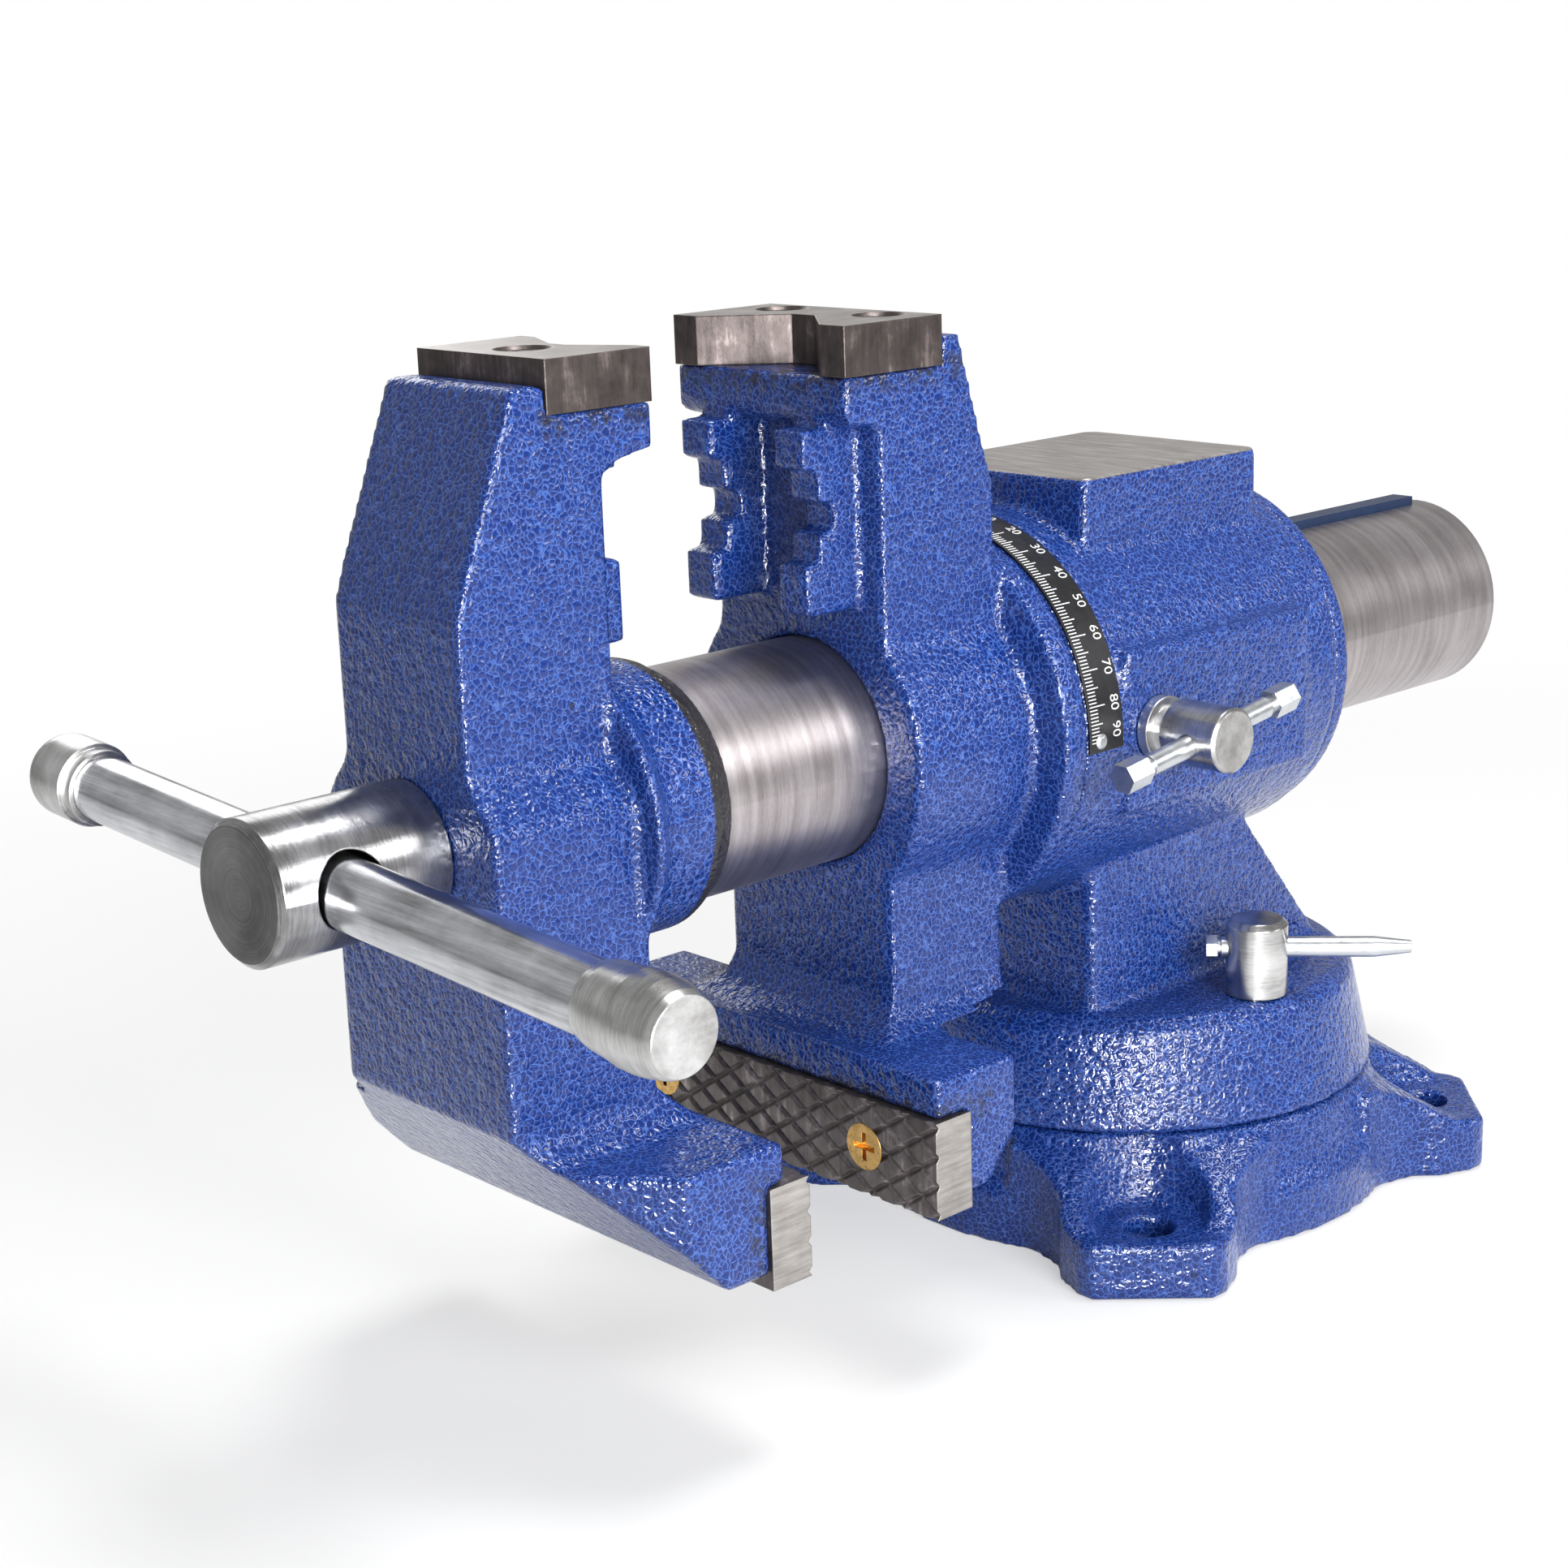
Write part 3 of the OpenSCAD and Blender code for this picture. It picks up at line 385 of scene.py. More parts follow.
@dataclass(frozen=True)
class HammerPaint:
    """Glossy hammered enamel with thin pale veins between dark cells.

    Bare regions are ground steel, smudges are dirty enamel and raw regions are dark worn metal.
    """

    name: str
    bare: tuple[Region, ...] = ()
    smudges: tuple[Region, ...] = ()
    raw: tuple[Region, ...] = ()
    cell_scale: float = 620.0
    fine_cell_ratio: float = 2.1
    swirl_scale: float = 260.0
    swirl_reach: float = 0.0022
    cell_depth: float = 0.0004
    dent_depth: float = 0.0011
    wave_depth: float = 0.0012
    enamel: tuple[tuple[float, RGBA], ...] = (
        (0.12, linear(72, 102, 170)), (0.34, linear(30, 64, 138)),
        (0.6, linear(14, 43, 114)), (0.95, linear(5, 20, 70)))
    cloud: RGBA = linear(22, 51, 120)
    speck: RGBA = linear(20, 18, 24)
    dirt: RGBA = linear(30, 29, 34)
    worn: RGBA = linear(34, 32, 34)
    steel: tuple[tuple[float, RGBA], ...] = (
        (0.3, linear(126, 119, 116)), (0.55, linear(174, 168, 164)), (0.8, linear(208, 202, 198)))

    def _inside(self, nodes: Nodes, box: Region, soft: float) -> Socket:
        """Marks a region.

        Args:
            nodes: The material's node tree.
            box: The region.
            soft: Half the width of its soft border.

        Returns:
            The socket of 1 inside the region and 0 outside.
        """
        inside: object = 1.0
        for socket, low, high in zip(nodes.xyz(), box.low, box.high):
            rise = nodes.span(socket, low - soft, low + soft)
            fall = nodes.span(socket, high - soft, high + soft, to_low=1.0, to_high=0.0)
            inside = nodes.times(inside, nodes.times(rise, fall))
        return inside

    def _swirl(self, nodes: Nodes) -> Socket:
        """Bends the coordinates by a soft noise, so that no cell's border is straight.

        Args:
            nodes: The material's node tree.

        Returns:
            The bent coordinates' socket.
        """
        warp = nodes.add("ShaderNodeTexNoise")
        nodes.link(nodes.place, warp.inputs["Vector"])
        warp.inputs["Scale"].default_value = self.swirl_scale
        reach = (self.swirl_reach,) * 3
        return nodes.vector("MULTIPLY_ADD", warp.outputs["Color"], reach, nodes.place).outputs[0]

    def _enamel_colour(self, nodes: Nodes, veins: Socket, place: Socket) -> Socket:
        """Colours the enamel by how thickly it lies, with broad clouds and small specks.

        Args:
            nodes: The material's node tree.
            veins: Distance from the nearest border between cells.
            place: The cells' coordinates.

        Returns:
            The colour's socket.
        """
        fine = nodes.cells(self.cell_scale * self.fine_cell_ratio, "F1", place)
        small = nodes.noise(1900.0, detail=2.0, rough=0.6)
        beads = nodes.times(nodes.span(fine, 0.1, 0.6, to_low=1.0, to_high=0.0), 0.5)
        depth = nodes.math("ADD", nodes.span(veins, 0.0, 0.16), beads)
        depth = nodes.math("MULTIPLY_ADD", small, 0.5, depth)
        colour = nodes.ramp(nodes.times(depth, 0.5), self.enamel)
        broad = nodes.span(nodes.noise(22.0), 0.35, 0.7, to_high=0.25)
        colour = nodes.mix(broad, colour, self.cloud)
        specks = nodes.span(nodes.noise(240.0, detail=1.0), 0.77, 0.8)
        return nodes.mix(nodes.times(specks, 0.6), colour, self.speck)

    def make(self) -> bpy.types.Material:
        """Builds the material.

        Returns:
            The finished material.
        """
        nodes = Nodes(self.name)
        wander = nodes.noise(180.0, detail=2.0)
        place = self._swirl(nodes)
        veins = nodes.cells(self.cell_scale, "DISTANCE_TO_EDGE", place)
        colour = self._enamel_colour(nodes, veins, place)
        rough = nodes.span(wander, 0.3, 0.7, to_low=0.16, to_high=0.26)
        metal: object = 0.0
        for box in self.smudges:
            spots = nodes.span(nodes.noise(320.0, detail=4.0, rough=0.7), 0.42, 0.6)
            spots = nodes.times(self._inside(nodes, box, 0.0025), spots)
            colour = nodes.mix(nodes.times(spots, 0.8), colour, self.dirt)
        for box in self.raw:
            wear = nodes.span(nodes.noise(500.0, detail=4.0, rough=0.7), 0.1, 0.36)
            inside = nodes.times(self._inside(nodes, box, 0.0005), wear)
            colour = nodes.mix(inside, colour, self.worn)
            rough = nodes.math("MULTIPLY_ADD", inside, 0.3, rough)
        height = nodes.math("ADD", nodes.span(veins, 0.0, 0.35), nodes.times(wander, 0.5))
        dents = nodes.noise(430.0, detail=0.5)
        for box in self.bare:
            inside = self._inside(nodes, box, 0.0002)
            outside = nodes.math("SUBTRACT", 1.0, inside)
            grain = nodes.noise(60.0, detail=5.0, rough=0.65, place=nodes.scaled((1.0, 9.0, 1.0)))
            colour = nodes.mix(inside, colour, nodes.ramp(grain, self.steel))
            rough = nodes.math("MULTIPLY_ADD", inside, 0.16, rough)
            metal = nodes.times(inside, 0.75)
            height = nodes.times(height, outside)
            dents = nodes.times(dents, outside)
        normal = nodes.bump(height, self.cell_depth, 0.32)
        normal = nodes.bump(dents, self.dent_depth, 0.55, normal)
        normal = nodes.bump(nodes.noise(70.0, detail=2.0), self.wave_depth, 0.35, normal)
        nodes.surface(Base_Color=colour, Roughness=rough, Metallic=metal, Specular_IOR_Level=0.22,
                      Coat_Weight=0.5, Coat_Roughness=0.06, Normal=normal, Coat_Normal=normal)
        return nodes.material


@dataclass(frozen=True)
class TurnedSteel:
    """Steel turned on a lathe: fine rings round an axis, streaks and worn patches.

    With lengthwise, the lines run along the axis, as on a drawn bar. With a centre, a point on
    the axis, the end faces have rings round it and painted shade that darkens them by a factor.
    """

    name: str
    pale: RGB
    dark: RGB
    axis: Axis
    ring_scale: float = 2600.0
    ring_share: float = 0.35
    rough: float = 0.26
    streak: float = 0.5
    mottle: float = 0.4
    edge: float = 0.0005
    ring_depth: float = 0.00005
    lengthwise: bool = False
    # Painted shade: the end faces' brightness factor, below 1 to darken them as if in shade
    end_shade: float = 1.0
    centre: Point | None = None

    def _stretch(self) -> list[float]:
        """Works out how the noise is drawn out into rings or lengthwise lines.

        Returns:
            The noise's scale on each axis.
        """
        along, across = (0.05, 1.0) if self.lengthwise else (1.0, 0.06)
        stretch = [across] * 3
        stretch[self.axis.value] = along
        return stretch

    def _end_rings(self, nodes: Nodes, rings: Socket) -> tuple[Socket, Socket]:
        """Puts rings round the centre on the end faces.

        Args:
            nodes: The material's node tree.
            rings: The marks elsewhere.

        Returns:
            The sockets of the marks on every face, and of 1 on an end face and 0 elsewhere.
        """
        flat = tuple(0.0 if i == self.axis.value else 1.0 for i in range(3))
        off = nodes.vector("SUBTRACT", nodes.place, self.centre).outputs[0]
        across = nodes.vector("MULTIPLY", off, flat).outputs[0]
        radial = nodes.add("ShaderNodeCombineXYZ")
        nodes.link(nodes.vector("LENGTH", across).outputs["Value"], radial.inputs[0])
        turned = nodes.noise(self.ring_scale * 0.7, detail=4.0, rough=0.75, place=radial.outputs[0])
        end = nodes.math("GREATER_THAN", nodes.math("ABSOLUTE", nodes.facing(self.axis)), 0.9)
        side = nodes.math("SUBTRACT", 1.0, end)
        return nodes.math("ADD", nodes.times(rings, side), nodes.times(turned, end)), end

    def make(self) -> bpy.types.Material:
        """Builds the material.

        Returns:
            The finished material.
        """
        nodes = Nodes(self.name)
        drawn = nodes.scaled(self._stretch())
        rings = nodes.noise(self.ring_scale, detail=4.0, rough=0.7, place=drawn)
        end: Socket | None = None
        if self.centre is not None:
            rings, end = self._end_rings(nodes, rings)
        bands = nodes.noise(self.ring_scale / 22, detail=3.0, rough=0.6, place=drawn)
        cloud = nodes.noise(55.0, detail=4.0, rough=0.6)
        value = nodes.math("ADD", nodes.times(rings, self.ring_share), nodes.times(bands, self.streak))
        value = nodes.math("ADD", value, nodes.times(cloud, self.mottle))
        value = nodes.math("DIVIDE", value, self.ring_share + self.streak + self.mottle)
        middle = [(a + b) / 2 for a, b in zip(self.pale, self.dark)]
        colour = nodes.ramp(value, (
            (0.36, opaque(self.dark)), (0.5, opaque(middle)), (0.64, opaque(self.pale))))
        if end is not None:
            # Painted shade: the end faces' colour is multiplied darker by a fixed factor, as if they lay in
            # shade
            painted_shade_factor = nodes.math("MULTIPLY_ADD", end, self.end_shade - 1.0, 1.0)
            painted_shade_grey = nodes.add("ShaderNodeCombineColor")
            for socket in painted_shade_grey.inputs[:3]:
                nodes.link(painted_shade_factor, socket)
            colour = nodes.mix(1.0, colour, painted_shade_grey.outputs[0], "MULTIPLY")
        rough = nodes.span(cloud, 0.3, 0.7, self.rough, self.rough + 0.2 * self.mottle)
        normal = nodes.bump(rings, self.ring_depth, 0.35, nodes.soft_edges(self.edge))
        nodes.surface(Base_Color=colour, Roughness=rough, Metallic=1.0, Normal=normal)
        return nodes.material


@dataclass(frozen=True)
class PlateSteel:
    """Dark oxidised steel whose faces across one axis are ground bright."""

    name: str
    ground_axis: Axis
    pale: RGB = tint(188, 182, 178)
    dark: RGB = tint(92, 84, 82)
    rust: RGBA = linear(92, 54, 34)
    limit: float = 0.75
    edge: float = 0.0005
    scratch_depth: float = 0.00006
    patch_depth: float = 0.0003

    def make(self) -> bpy.types.Material:
        """Builds the material.

        Returns:
            The finished material.
        """
        nodes = Nodes(self.name)
        facing = nodes.math("ABSOLUTE", nodes.facing(self.ground_axis))
        ground = nodes.math("GREATER_THAN", facing, self.limit)
        patch = nodes.noise(120.0, detail=4.0, rough=0.65)
        scratch = nodes.noise(900.0, detail=4.0, rough=0.7, place=nodes.scaled((1.0, 0.08, 1.0)))
        shine = nodes.math("MULTIPLY_ADD", patch, 0.4, nodes.times(scratch, 0.6))
        bright = nodes.ramp(shine, (
            (0.36, opaque([c * 0.55 for c in self.pale])), (0.66, opaque(self.pale))))
        wipe = nodes.noise(420.0, detail=4.0, rough=0.7, place=nodes.scaled((1.0, 1.0, 0.12)))
        oxide = nodes.math("MULTIPLY_ADD", patch, 0.5, nodes.times(wipe, 0.5))
        black = nodes.ramp(oxide, (
            (0.36, opaque([c * 0.5 for c in self.dark])), (0.55, opaque(self.dark)),
            (0.72, opaque([min(1.0, c * 3.2) for c in self.dark]))))
        specks = nodes.span(nodes.noise(300.0, detail=3.0, rough=0.7), 0.66, 0.74)
        black = nodes.mix(nodes.times(specks, 0.5), black, self.rust)
        normal = nodes.bump(scratch, self.scratch_depth, 0.4, nodes.soft_edges(self.edge))
        nodes.surface(Base_Color=nodes.mix(ground, black, bright), Metallic=0.85,
                      Roughness=nodes.math("MULTIPLY_ADD", patch, 0.2, 0.28),
                      Normal=nodes.bump(patch, self.patch_depth, 0.25, normal))
        return nodes.material


@dataclass(frozen=True)
class PlainFinish:
    """An even finish with fine mottling, for small pieces."""

    name: str
    colour: RGB
    metallic: float = 1.0
    rough: float = 0.3
    variation: float = 0.35
    edge: float = 0.0003
    mottle_depth: float = 0.00012

    def make(self) -> bpy.types.Material:
        """Builds the material.

        Returns:
            The finished material.
        """
        nodes = Nodes(self.name)
        cloud = nodes.noise(420.0, detail=4.0, rough=0.65)
        low = [c * (1 - self.variation) for c in self.colour]
        high = [min(1.0, c * (1 + self.variation)) for c in self.colour]
        nodes.surface(
            Base_Color=nodes.ramp(cloud, ((0.3, opaque(low)), (0.7, opaque(high)))),
            Roughness=nodes.math("MULTIPLY_ADD", cloud, 0.22, self.rough - 0.1),
            Metallic=self.metallic,
            Normal=nodes.bump(cloud, self.mottle_depth, 0.3, nodes.soft_edges(self.edge)))
        return nodes.material


Finish = TurnedSteel | PlateSteel | PlainFinish


def select_only(*objects: bpy.types.Object) -> None:
    """Selects these objects alone and makes the first one active.

    Args:
        objects: The objects, at least one.
    """
    bpy.ops.object.select_all(action="DESELECT")
    for one in objects:
        one.select_set(True)
    bpy.context.view_layer.objects.active = objects[0]


def dress(obj: bpy.types.Object, material: bpy.types.Material) -> None:
    """Gives every material slot of a piece this material.

    Args:
        obj: The piece or CAD node.
        material: Its finish.
    """
    if not obj.material_slots:
        obj.data.materials.append(material)
    for one in obj.material_slots:
        one.material = material


def apply_place(obj: bpy.types.Object) -> None:
    """Moves an object's place, turn and scale into its mesh."""
    select_only(obj)
    bpy.ops.object.transform_apply(location=True, rotation=True, scale=True)


@dataclass
class Casting:
    """A cast piece: the CAD solid's shape with the soft edges and fillets of sand casting."""

    node: str
    body: str
    finish: HammerPaint
    machined: tuple[Region, ...] = ()
    voxel: float = 0.0012
    smoothing: int = 5
    weld: float = 0.000002

    def _mill(self, cast: bpy.types.Object) -> None:
        """Cuts the machined slots with sharp corners.

        Args:
            cast: The smoothed casting.
        """
        for box in self.machined:
            middle = [(low + high) / 2 for low, high in zip(box.low, box.high)]
            bpy.ops.object.select_all(action="DESELECT")
            bpy.ops.mesh.primitive_cube_add(size=1.0, location=middle)
            cutter = bpy.context.view_layer.objects.active
            cutter.scale = [high - low for low, high in zip(box.low, box.high)]
            apply_place(cutter)
            select_only(cast)
            milled = cast.modifiers.new("milled_slot", "BOOLEAN")
            milled.operation = "DIFFERENCE"
            milled.solver = "EXACT"
            milled.object = cutter
            bpy.ops.object.modifier_apply(modifier="milled_slot")
            bpy.data.objects.remove(cutter, do_unlink=True)

    def _copy(self, source: bpy.types.Object) -> bpy.types.Object:
        """Copies the CAD node as one closed mesh at its place.

        Args:
            source: The CAD node.

        Returns:
            The copy.
        """
        select_only(source)
        bpy.ops.object.duplicate(linked=False)
        cast = bpy.context.view_layer.objects.active
        cast.name = f"{self.node}_cast"
        place = cast.matrix_world.copy()
        cast.parent = None
        cast.matrix_world = place
        apply_place(cast)
        bpy.ops.object.mode_set(mode="EDIT")
        bpy.ops.mesh.select_all(action="SELECT")
        bpy.ops.mesh.remove_doubles(threshold=self.weld)
        bpy.ops.mesh.normals_make_consistent(inside=False)
        bpy.ops.object.mode_set(mode="OBJECT")
        return cast

    def build(self, frame: dict) -> bpy.types.Object:
        """Copies the CAD node, rounds its edges and dresses the copy.


        Returns:
            The finished casting.
        """
        cast = self._copy(frame["nodes"][self.node])
        remesh = cast.modifiers.new("sand_mould", "REMESH")
        remesh.mode = "VOXEL"
        remesh.voxel_size = self.voxel
        remesh.use_smooth_shade = True
        bpy.ops.object.modifier_apply(modifier="sand_mould")
        smooth = cast.modifiers.new("worn_pattern", "SMOOTH")
        smooth.factor = 0.5
        smooth.iterations = self.smoothing
        bpy.ops.object.modifier_apply(modifier="worn_pattern")
        self._mill(cast)
        bpy.ops.object.shade_smooth()
        dress(cast, self.finish.make())
        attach(cast, self.body)
        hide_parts(self.node)
        LOG.info("%s: %d faces", cast.name, len(cast.data.polygons))
        return cast


@dataclass
class DegreeScale:
    """White graduations and numbers round the barrel's black strip."""

    radius: float = BARREL_R
    last: int = 90
    number_step: int = 10
    middle_step: int = 5
    tick_w: float = 0.00032
    tick_gap: float = 0.0007
    proud: float = 0.00004
    short_l: float = 0.0028
    middle_l: float = 0.0042
    long_l: float = 0.0056
    digit_h: float = 0.0042
    digit_inset: float = 0.62
    rivet_room: float = 2.5
    body: str = "swivel"

    def _at(self, degrees: float, y: float) -> Matrix:
        """Finds a place on the barrel.

        Args:
            degrees: Angle from the top.
            y: Place along the barrel.

        Returns:
            The matrix that moves a piece from the origin there, flat on the barrel.
        """
        turn = Matrix.Rotation(math.radians(degrees), 4, "Y")
        return Matrix.Translation(AXIS_POINT) @ turn @ Matrix.Translation((0, y, self.radius))

    def _join(self, pieces: list[bpy.types.Object], name: str,
              white: bpy.types.Material) -> bpy.types.Object:
        """Joins small pieces into one, dresses it and lets it ride on the barrel.

        Args:
            pieces: The pieces.
            name: The joined piece's name.
            white: Its paint.

        Returns:
            The joined piece.
        """
        select_only(*pieces)
        bpy.ops.object.join()
        joined = bpy.context.view_layer.objects.active
        joined.name = name
        apply_place(joined)
        dress(joined, white)
        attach(joined, self.body)
        LOG.info("%s: %d faces", name, len(joined.data.polygons))
        return joined

    def _tick_length(self, degree: int) -> float:
        """Returns the length of the line at a degree."""
        if degree % self.number_step == 0:
            return self.long_l
        return self.middle_l if degree % self.middle_step == 0 else self.short_l

    def ticks(self, white: bpy.types.Material) -> bpy.types.Object:
        """Models the graduation lines.

        Args:
            white: The lines' paint.

        Returns:
            One object with every line.
        """
        made = []
        for degree in range(-self.last, self.last + 1):
            length = self._tick_length(degree)
            bpy.ops.object.select_all(action="DESELECT")
            bpy.ops.mesh.primitive_cube_add(size=1.0)
            tick = bpy.context.view_layer.objects.active
            size = Matrix.Diagonal((self.tick_w, length, self.proud * 2, 1))
            tick.matrix_world = self._at(degree, SCALE_FRONT + self.tick_gap + length / 2) @ size
            made.append(tick)
        return self._join(made, "scale_lines", white)

    def _number(self, number: int, degrees: float) -> bpy.types.Object:
        """Models one plain dial number.

        Args:
            number: What it reads.
            degrees: Its angle on the barrel.

        Returns:
            The number as a mesh.
        """
        bpy.ops.object.select_all(action="DESELECT")
        bpy.ops.object.text_add()
        text = bpy.context.view_layer.objects.active
        text.data.body = str(number)
        text.data.align_x = "CENTER"
        text.data.align_y = "CENTER"
        text.data.size = self.digit_h
        text.data.extrude = self.proud
        text.data.resolution_u = 3
        bpy.ops.object.convert(target="MESH")
        text = bpy.context.view_layer.objects.active
        text.matrix_world = self._at(degrees, SCALE_REAR - self.digit_h * self.digit_inset)
        return text

    def digits(self, white: bpy.types.Material) -> bpy.types.Object:
        """Models the plain dial numbers on both sides of the top.

        Args:
            white: The numbers' paint.

        Returns:
            One object with every number.
        """
        made = []
        for side in (-1, 1):
            for number in range(0, self.last + 1, self.number_step):
                if side < 0 and number == 0:
                    continue
                # The last number on the near side stands clear of the rivet
                room = self.rivet_room if number == self.last and side > 0 else 0
                made.append(self._number(number, side * number - room))
        return self._join(made, "scale_numbers", white)


@dataclass
class MetalWork:
    """Finishes of the bare metal nodes."""

    zinc_pale: RGB = tint(222, 222, 222)
    zinc_dark: RGB = tint(132, 130, 128)

    def turned(self) -> list[tuple[Finish, tuple[str, ...]]]:
        """Lists the turned and drawn finishes.

        Returns:
            Pairs of a finish and the nodes that wear it.
        """
        return [
            # The spindle's end faces get painted shade at half their colour
            (TurnedSteel("zinc_turned_y", tint(196, 196, 198), tint(104, 102, 102), Axis.Y,
                         rough=0.2, streak=0.35, end_shade=0.5, centre=AXIS_POINT),
             ("spindle", "spindle_collar")),
            (TurnedSteel("drawn_bar", tint(238, 240, 244), tint(140, 140, 144), Axis.X,
                         ring_scale=900.0, rough=0.14, streak=0.45, lengthwise=True),
             ("handle_bar",)),
            (TurnedSteel("zinc_turned_x", self.zinc_pale, self.zinc_dark, Axis.X,
                         rough=0.24, streak=0.3),
             ("handle_knob_left", "handle_knob_right", "head_lock_screw")),
            (TurnedSteel("zinc_turned_z", self.zinc_pale, self.zinc_dark, Axis.Z,
                         rough=0.2, streak=0.3),
             ("swivel_lock_right", "swivel_lock_left")),
            (TurnedSteel("ground_tube", tint(190, 184, 185), tint(138, 131, 132), Axis.Y,
                         ring_scale=9000.0, rough=0.35, streak=0.4, mottle=0.2, centre=AXIS_POINT),
             ("slide_tube",)),
        ]

    def plain(self) -> list[tuple[Finish, tuple[str, ...]]]:
        """Lists the finishes of small pieces and plates.

        Returns:
            Pairs of a finish and the nodes that wear it.
        """
        return [
            (PlainFinish("bright_zinc", tint(196, 199, 202), variation=0.08),
             ("head_lock_bar", "swivel_bar_right", "swivel_bar_left", "scale_rivets")),
            (PlainFinish("key_enamel", tint(22, 44, 80), metallic=0.3, rough=0.34, variation=0.2),
             ("slide_key",)),
            (PlainFinish("blued_steel", tint(58, 54, 52), rough=0.38),
             ("rear_v_screws", "front_v_screw", "ring_screws", "nut_screw", "collar_pin", "tee_nuts")),
            (PlainFinish("yellow_zinc", tint(206, 168, 104), rough=0.28),
             ("rear_plate_screws", "front_plate_screws")),
            (PlainFinish("plain_brass", tint(178, 142, 80), rough=0.32),
             ("spindle_nut", "head_lock_pad")),
            (PlainFinish("black_strip", tint(26, 26, 29), metallic=0.2, rough=0.36),
             ("degree_scale",)),
            (PlateSteel("jaw_top_steel", Axis.Z),
             ("rear_v_plate", "front_v_plate")),
            (PlateSteel("serrated_steel", Axis.X, pale=tint(182, 177, 172), dark=tint(114, 108, 107)),
             ("rear_serrated_plate", "front_serrated_plate")),
        ]

    def dress_all(self, nodes: dict[str, bpy.types.Object]) -> None:
        """Dresses every metal node.

        Args:
            nodes: The frame's nodes by name.
        """
        for finish, names in self.turned() + self.plain():
            material = finish.make()
            for name in names:
                dress(nodes[name], material)
                LOG.info("%s: %s", name, material.name)


@dataclass(frozen=True)
class Lamp:
    """A square area lamp, with its width in metres and its power in watts."""

    name: str
    at: Point
    size: float
    power: float
    glints_only: bool = False


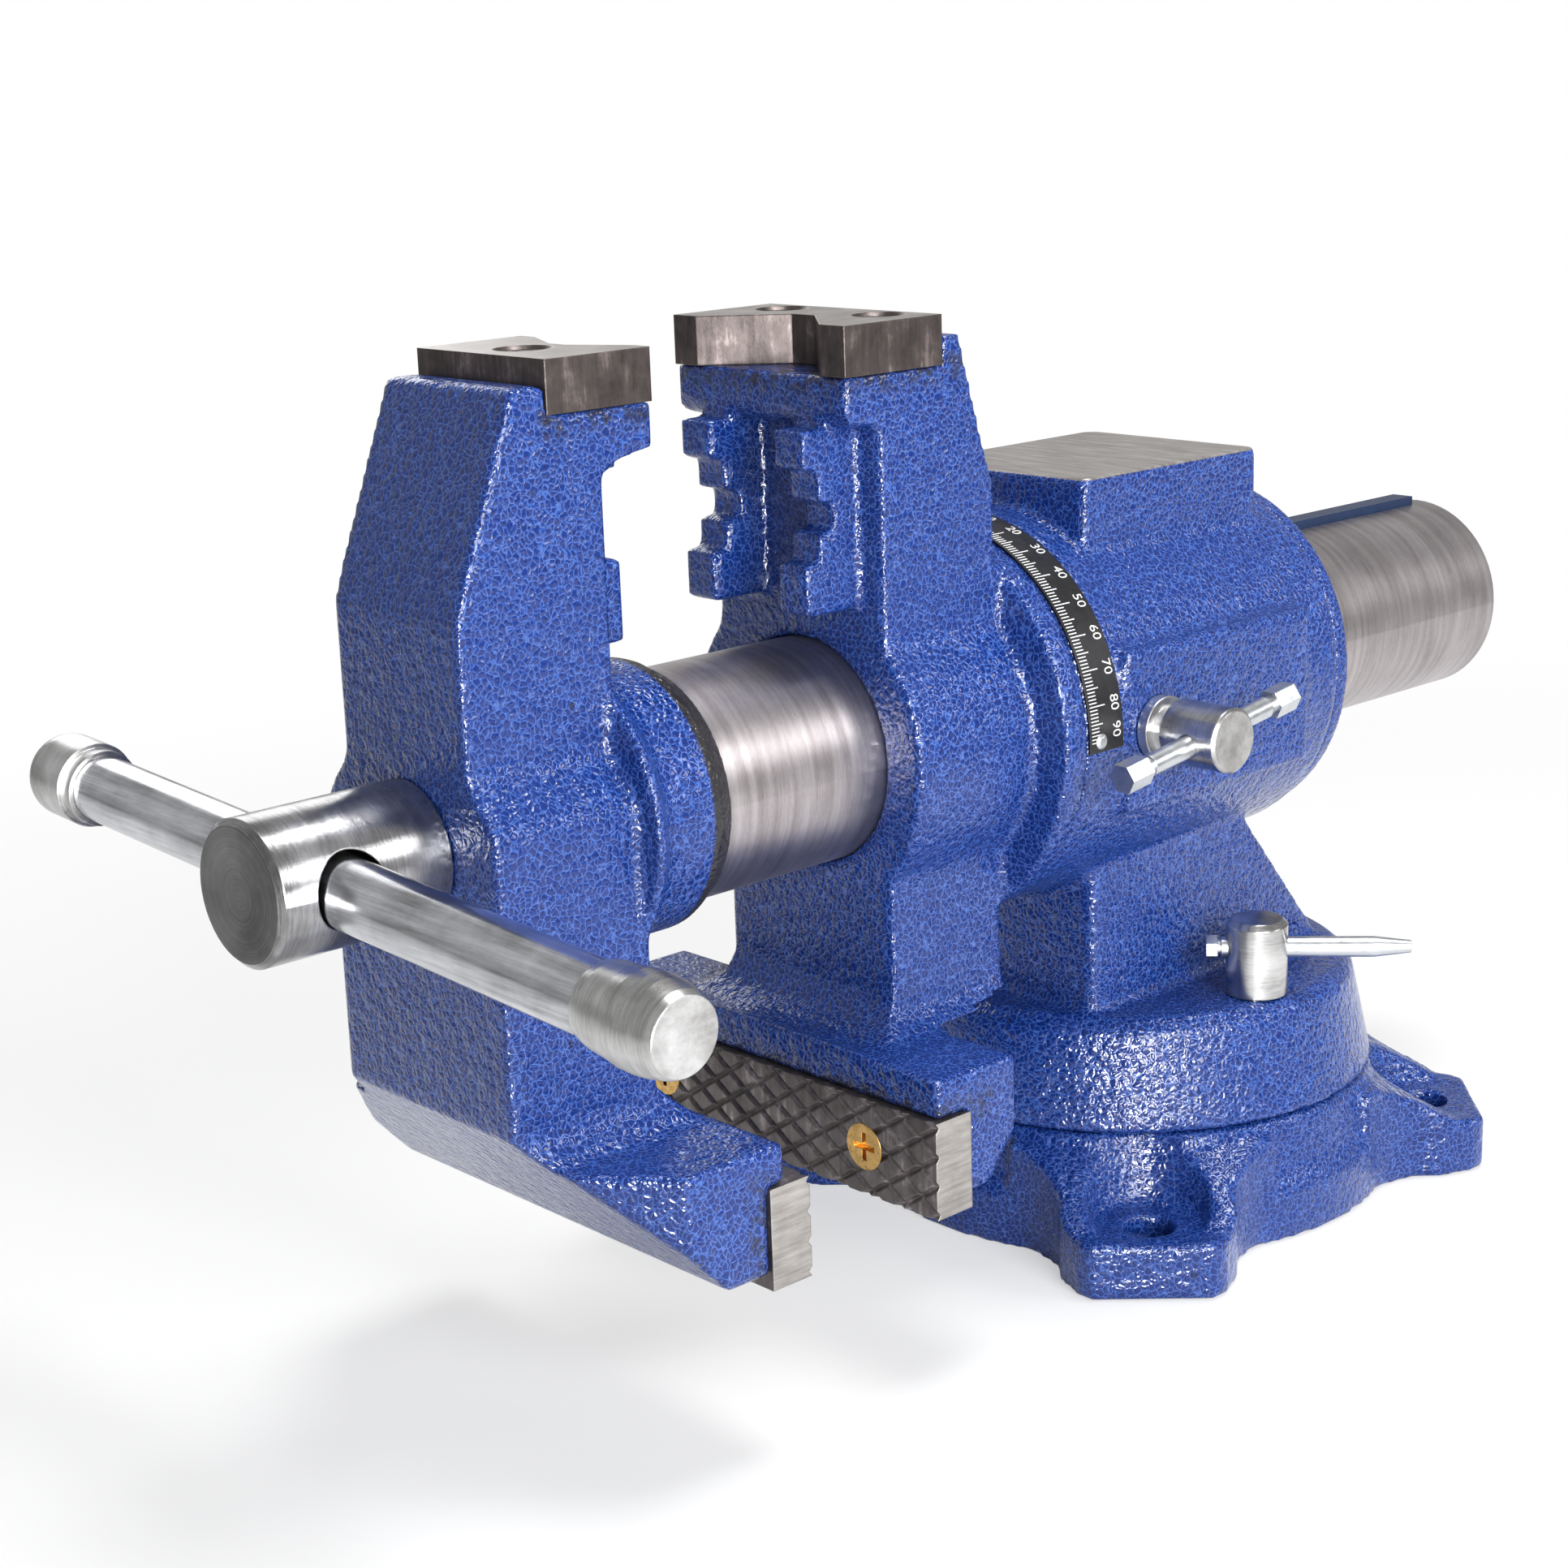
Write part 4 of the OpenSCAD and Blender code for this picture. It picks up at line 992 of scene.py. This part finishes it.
@dataclass
class Studio:
    """Camera, floor, soft lamps and an even pale world."""

    lens: float = 63.725
    sensor: float = 36.0
    camera_at: Point = (0.49553, -0.57604, 0.31241)
    camera_x: Point = (0.677017, 0.735162, -0.034433)
    camera_y: Point = (-0.164906, 0.197127, 0.966409)
    camera_z: Point = (0.717255, -0.648597, 0.25469)
    floor_size: float = 6.0
    floor_gap: float = 0.0002
    floor_tone: RGB = (0.86, 0.86, 0.86)
    floor_rough: float = 0.7
    fade_from: float = 0.3
    fade_to: float = 0.75
    sky_diffuse: float = 0.2
    sky_glossy: float = 0.42
    sky_seen: float = 1.0
    aim: Point = (0, -0.08, 0.12)
    lamps: tuple[Lamp, ...] = (
        Lamp("key", (1.10, -0.42, 0.52), 0.6, 15.0),
        Lamp("side", (1.2, 0.7, 0.8), 0.5, 6.0),
        Lamp("left", (-1.0, -1.0, 0.8), 0.8, 0.3),
        Lamp("front", (0.90, -0.86, 0.2), 0.17, 1.4),
        Lamp("glints", (0.88, -0.88, 0.16), 0.3, 18.0, glints_only=True),
        Lamp("back", (-1.35, 0.35, 0.8), 0.8, 4.0),
        Lamp("top", (0.1, 0.15, 1.5), 0.5, 15.0))

    def camera(self) -> None:
        """Puts the camera at the photograph's viewing angle."""
        data = bpy.data.cameras.new("photo_view")
        data.lens = self.lens
        data.sensor_width = self.sensor
        data.sensor_fit = "HORIZONTAL"
        data.clip_start = 0.01
        camera = bpy.data.objects.new("photo_view", data)
        bpy.context.scene.collection.objects.link(camera)
        turn = Matrix((self.camera_x, self.camera_y, self.camera_z)).transposed().to_4x4()
        camera.matrix_world = Matrix.Translation(self.camera_at) @ turn
        bpy.context.scene.camera = camera

    def floor(self) -> None:
        """Lays a plain pale floor that fades to white for the camera, away from the vise."""
        bpy.ops.object.select_all(action="DESELECT")
        bpy.ops.mesh.primitive_plane_add(size=self.floor_size, location=(0, 0, -self.floor_gap))
        floor = bpy.context.view_layer.objects.active
        floor.name = "floor"
        nodes = Nodes("pale_floor")
        nodes.surface(Base_Color=opaque(self.floor_tone), Roughness=self.floor_rough)
        reach = nodes.vector("LENGTH", nodes.place).outputs["Value"]
        far = nodes.span(reach, self.fade_from, self.fade_to)
        white = nodes.math("MULTIPLY_ADD", far, 0.5, 0.5)
        seen = nodes.add("ShaderNodeLightPath").outputs["Is Camera Ray"]
        mix = nodes.add("ShaderNodeMixShader")
        nodes.link(nodes.times(white, seen), mix.inputs[0])
        nodes.link(nodes.shader.outputs[0], mix.inputs[1])
        nodes.link(nodes.add("ShaderNodeEmission").outputs[0], mix.inputs[2])
        nodes.link(mix.outputs[0], nodes.output.inputs[0])
        floor.data.materials.append(nodes.material)

    def light(self, lamp: Lamp) -> None:
        """Adds one area lamp that looks at the object's middle.

        Args:
            lamp: What it is like. With glints_only, it adds no diffuse light.
        """
        data = bpy.data.lights.new(lamp.name, "AREA")
        data.size = lamp.size
        data.energy = lamp.power
        made = bpy.data.objects.new(lamp.name, data)
        bpy.context.scene.collection.objects.link(made)
        made.visible_diffuse = not lamp.glints_only
        turn = (Vector(self.aim) - Vector(lamp.at)).to_track_quat("-Z", "Y").to_matrix().to_4x4()
        made.matrix_world = Matrix.Translation(lamp.at) @ turn

    @staticmethod
    def _sky(tree: bpy.types.NodeTree, strength: float) -> Socket:
        """Adds a white background.

        Args:
            tree: The world's node tree.
            strength: How bright the background is.

        Returns:
            The background's socket.
        """
        plain = tree.nodes.new("ShaderNodeBackground")
        plain.inputs["Color"].default_value = (1, 1, 1, 1)
        plain.inputs["Strength"].default_value = strength
        return plain.outputs[0]

    def world(self) -> None:
        """Sets a white world whose strength differs for diffuse, glossy and camera rays."""
        world = bpy.data.worlds.new("studio_world")
        world.use_nodes = True
        tree = world.node_tree
        tree.nodes.clear()
        out = tree.nodes.new("ShaderNodeOutputWorld")
        path = tree.nodes.new("ShaderNodeLightPath")
        shown = self._sky(tree, self.sky_diffuse)
        for ray, strength in (("Is Glossy Ray", self.sky_glossy), ("Is Camera Ray", self.sky_seen)):
            mix = tree.nodes.new("ShaderNodeMixShader")
            tree.links.new(path.outputs[ray], mix.inputs[0])
            tree.links.new(shown, mix.inputs[1])
            tree.links.new(self._sky(tree, strength), mix.inputs[2])
            shown = mix.outputs[0]
        tree.links.new(shown, out.inputs[0])
        bpy.context.scene.world = world

    def build(self) -> None:
        """Builds the whole studio."""
        bpy.context.scene.view_settings.view_transform = "Standard"
        self.camera()
        self.floor()
        self.world()
        for lamp in self.lamps:
            self.light(lamp)


def castings() -> list[Casting]:
    """Lists the vise's painted castings with their bare, smudged and machined places.

    Returns:
        The castings, from the base up.
    """
    anvil_top = Region((-0.035, -0.055, 0.2047), (0.035, 0.03, 0.207))
    keyway = Region((-0.00375, -0.112, 0.155), (0.00375, 0.06, 0.17525))
    tongue_face = Region((-0.034, -0.1792, 0.110), (0.034, -0.1690, 0.179))
    rear_seats = (
        Region((-0.04, -0.136, 0.2352), (0.04, -0.09, 0.242)),
        Region((-0.064, -0.141, 0.0635), (0.064, -0.12, 0.070)))
    front_seats = (
        Region((-0.03, -0.216, 0.2345), (0.03, -0.18, 0.242)),
        Region((-0.064, -0.199, 0.04), (0.064, -0.192, 0.070)))
    return [
        Casting("base_casting", "base", HammerPaint("paint_base")),
        Casting("swivel_housing", "swivel", HammerPaint("paint_housing", bare=(anvil_top,))),
        Casting("rear_jaw", "head", HammerPaint("paint_rear_jaw", smudges=rear_seats),
                machined=(keyway,)),
        Casting("front_jaw", "slide",
                HammerPaint("paint_front_jaw", smudges=front_seats, raw=(tongue_face,))),
        Casting("retaining_ring", "head", HammerPaint("paint_ring"), voxel=0.0009),
    ]


def main() -> None:
    """Builds every sub-assembly and reports its pieces."""
    logging.basicConfig(level=logging.INFO, format="%(message)s")
    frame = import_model()
    MetalWork().dress_all(frame["nodes"])
    for casting in castings():
        casting.build(frame)
    white = PlainFinish("scale_white", tint(222, 222, 222), metallic=0.0, rough=0.45, variation=0.06).make()
    scale = DegreeScale()
    scale.ticks(white)
    scale.digits(white)
    Studio().build()


if __name__ == "__main__":
    main()
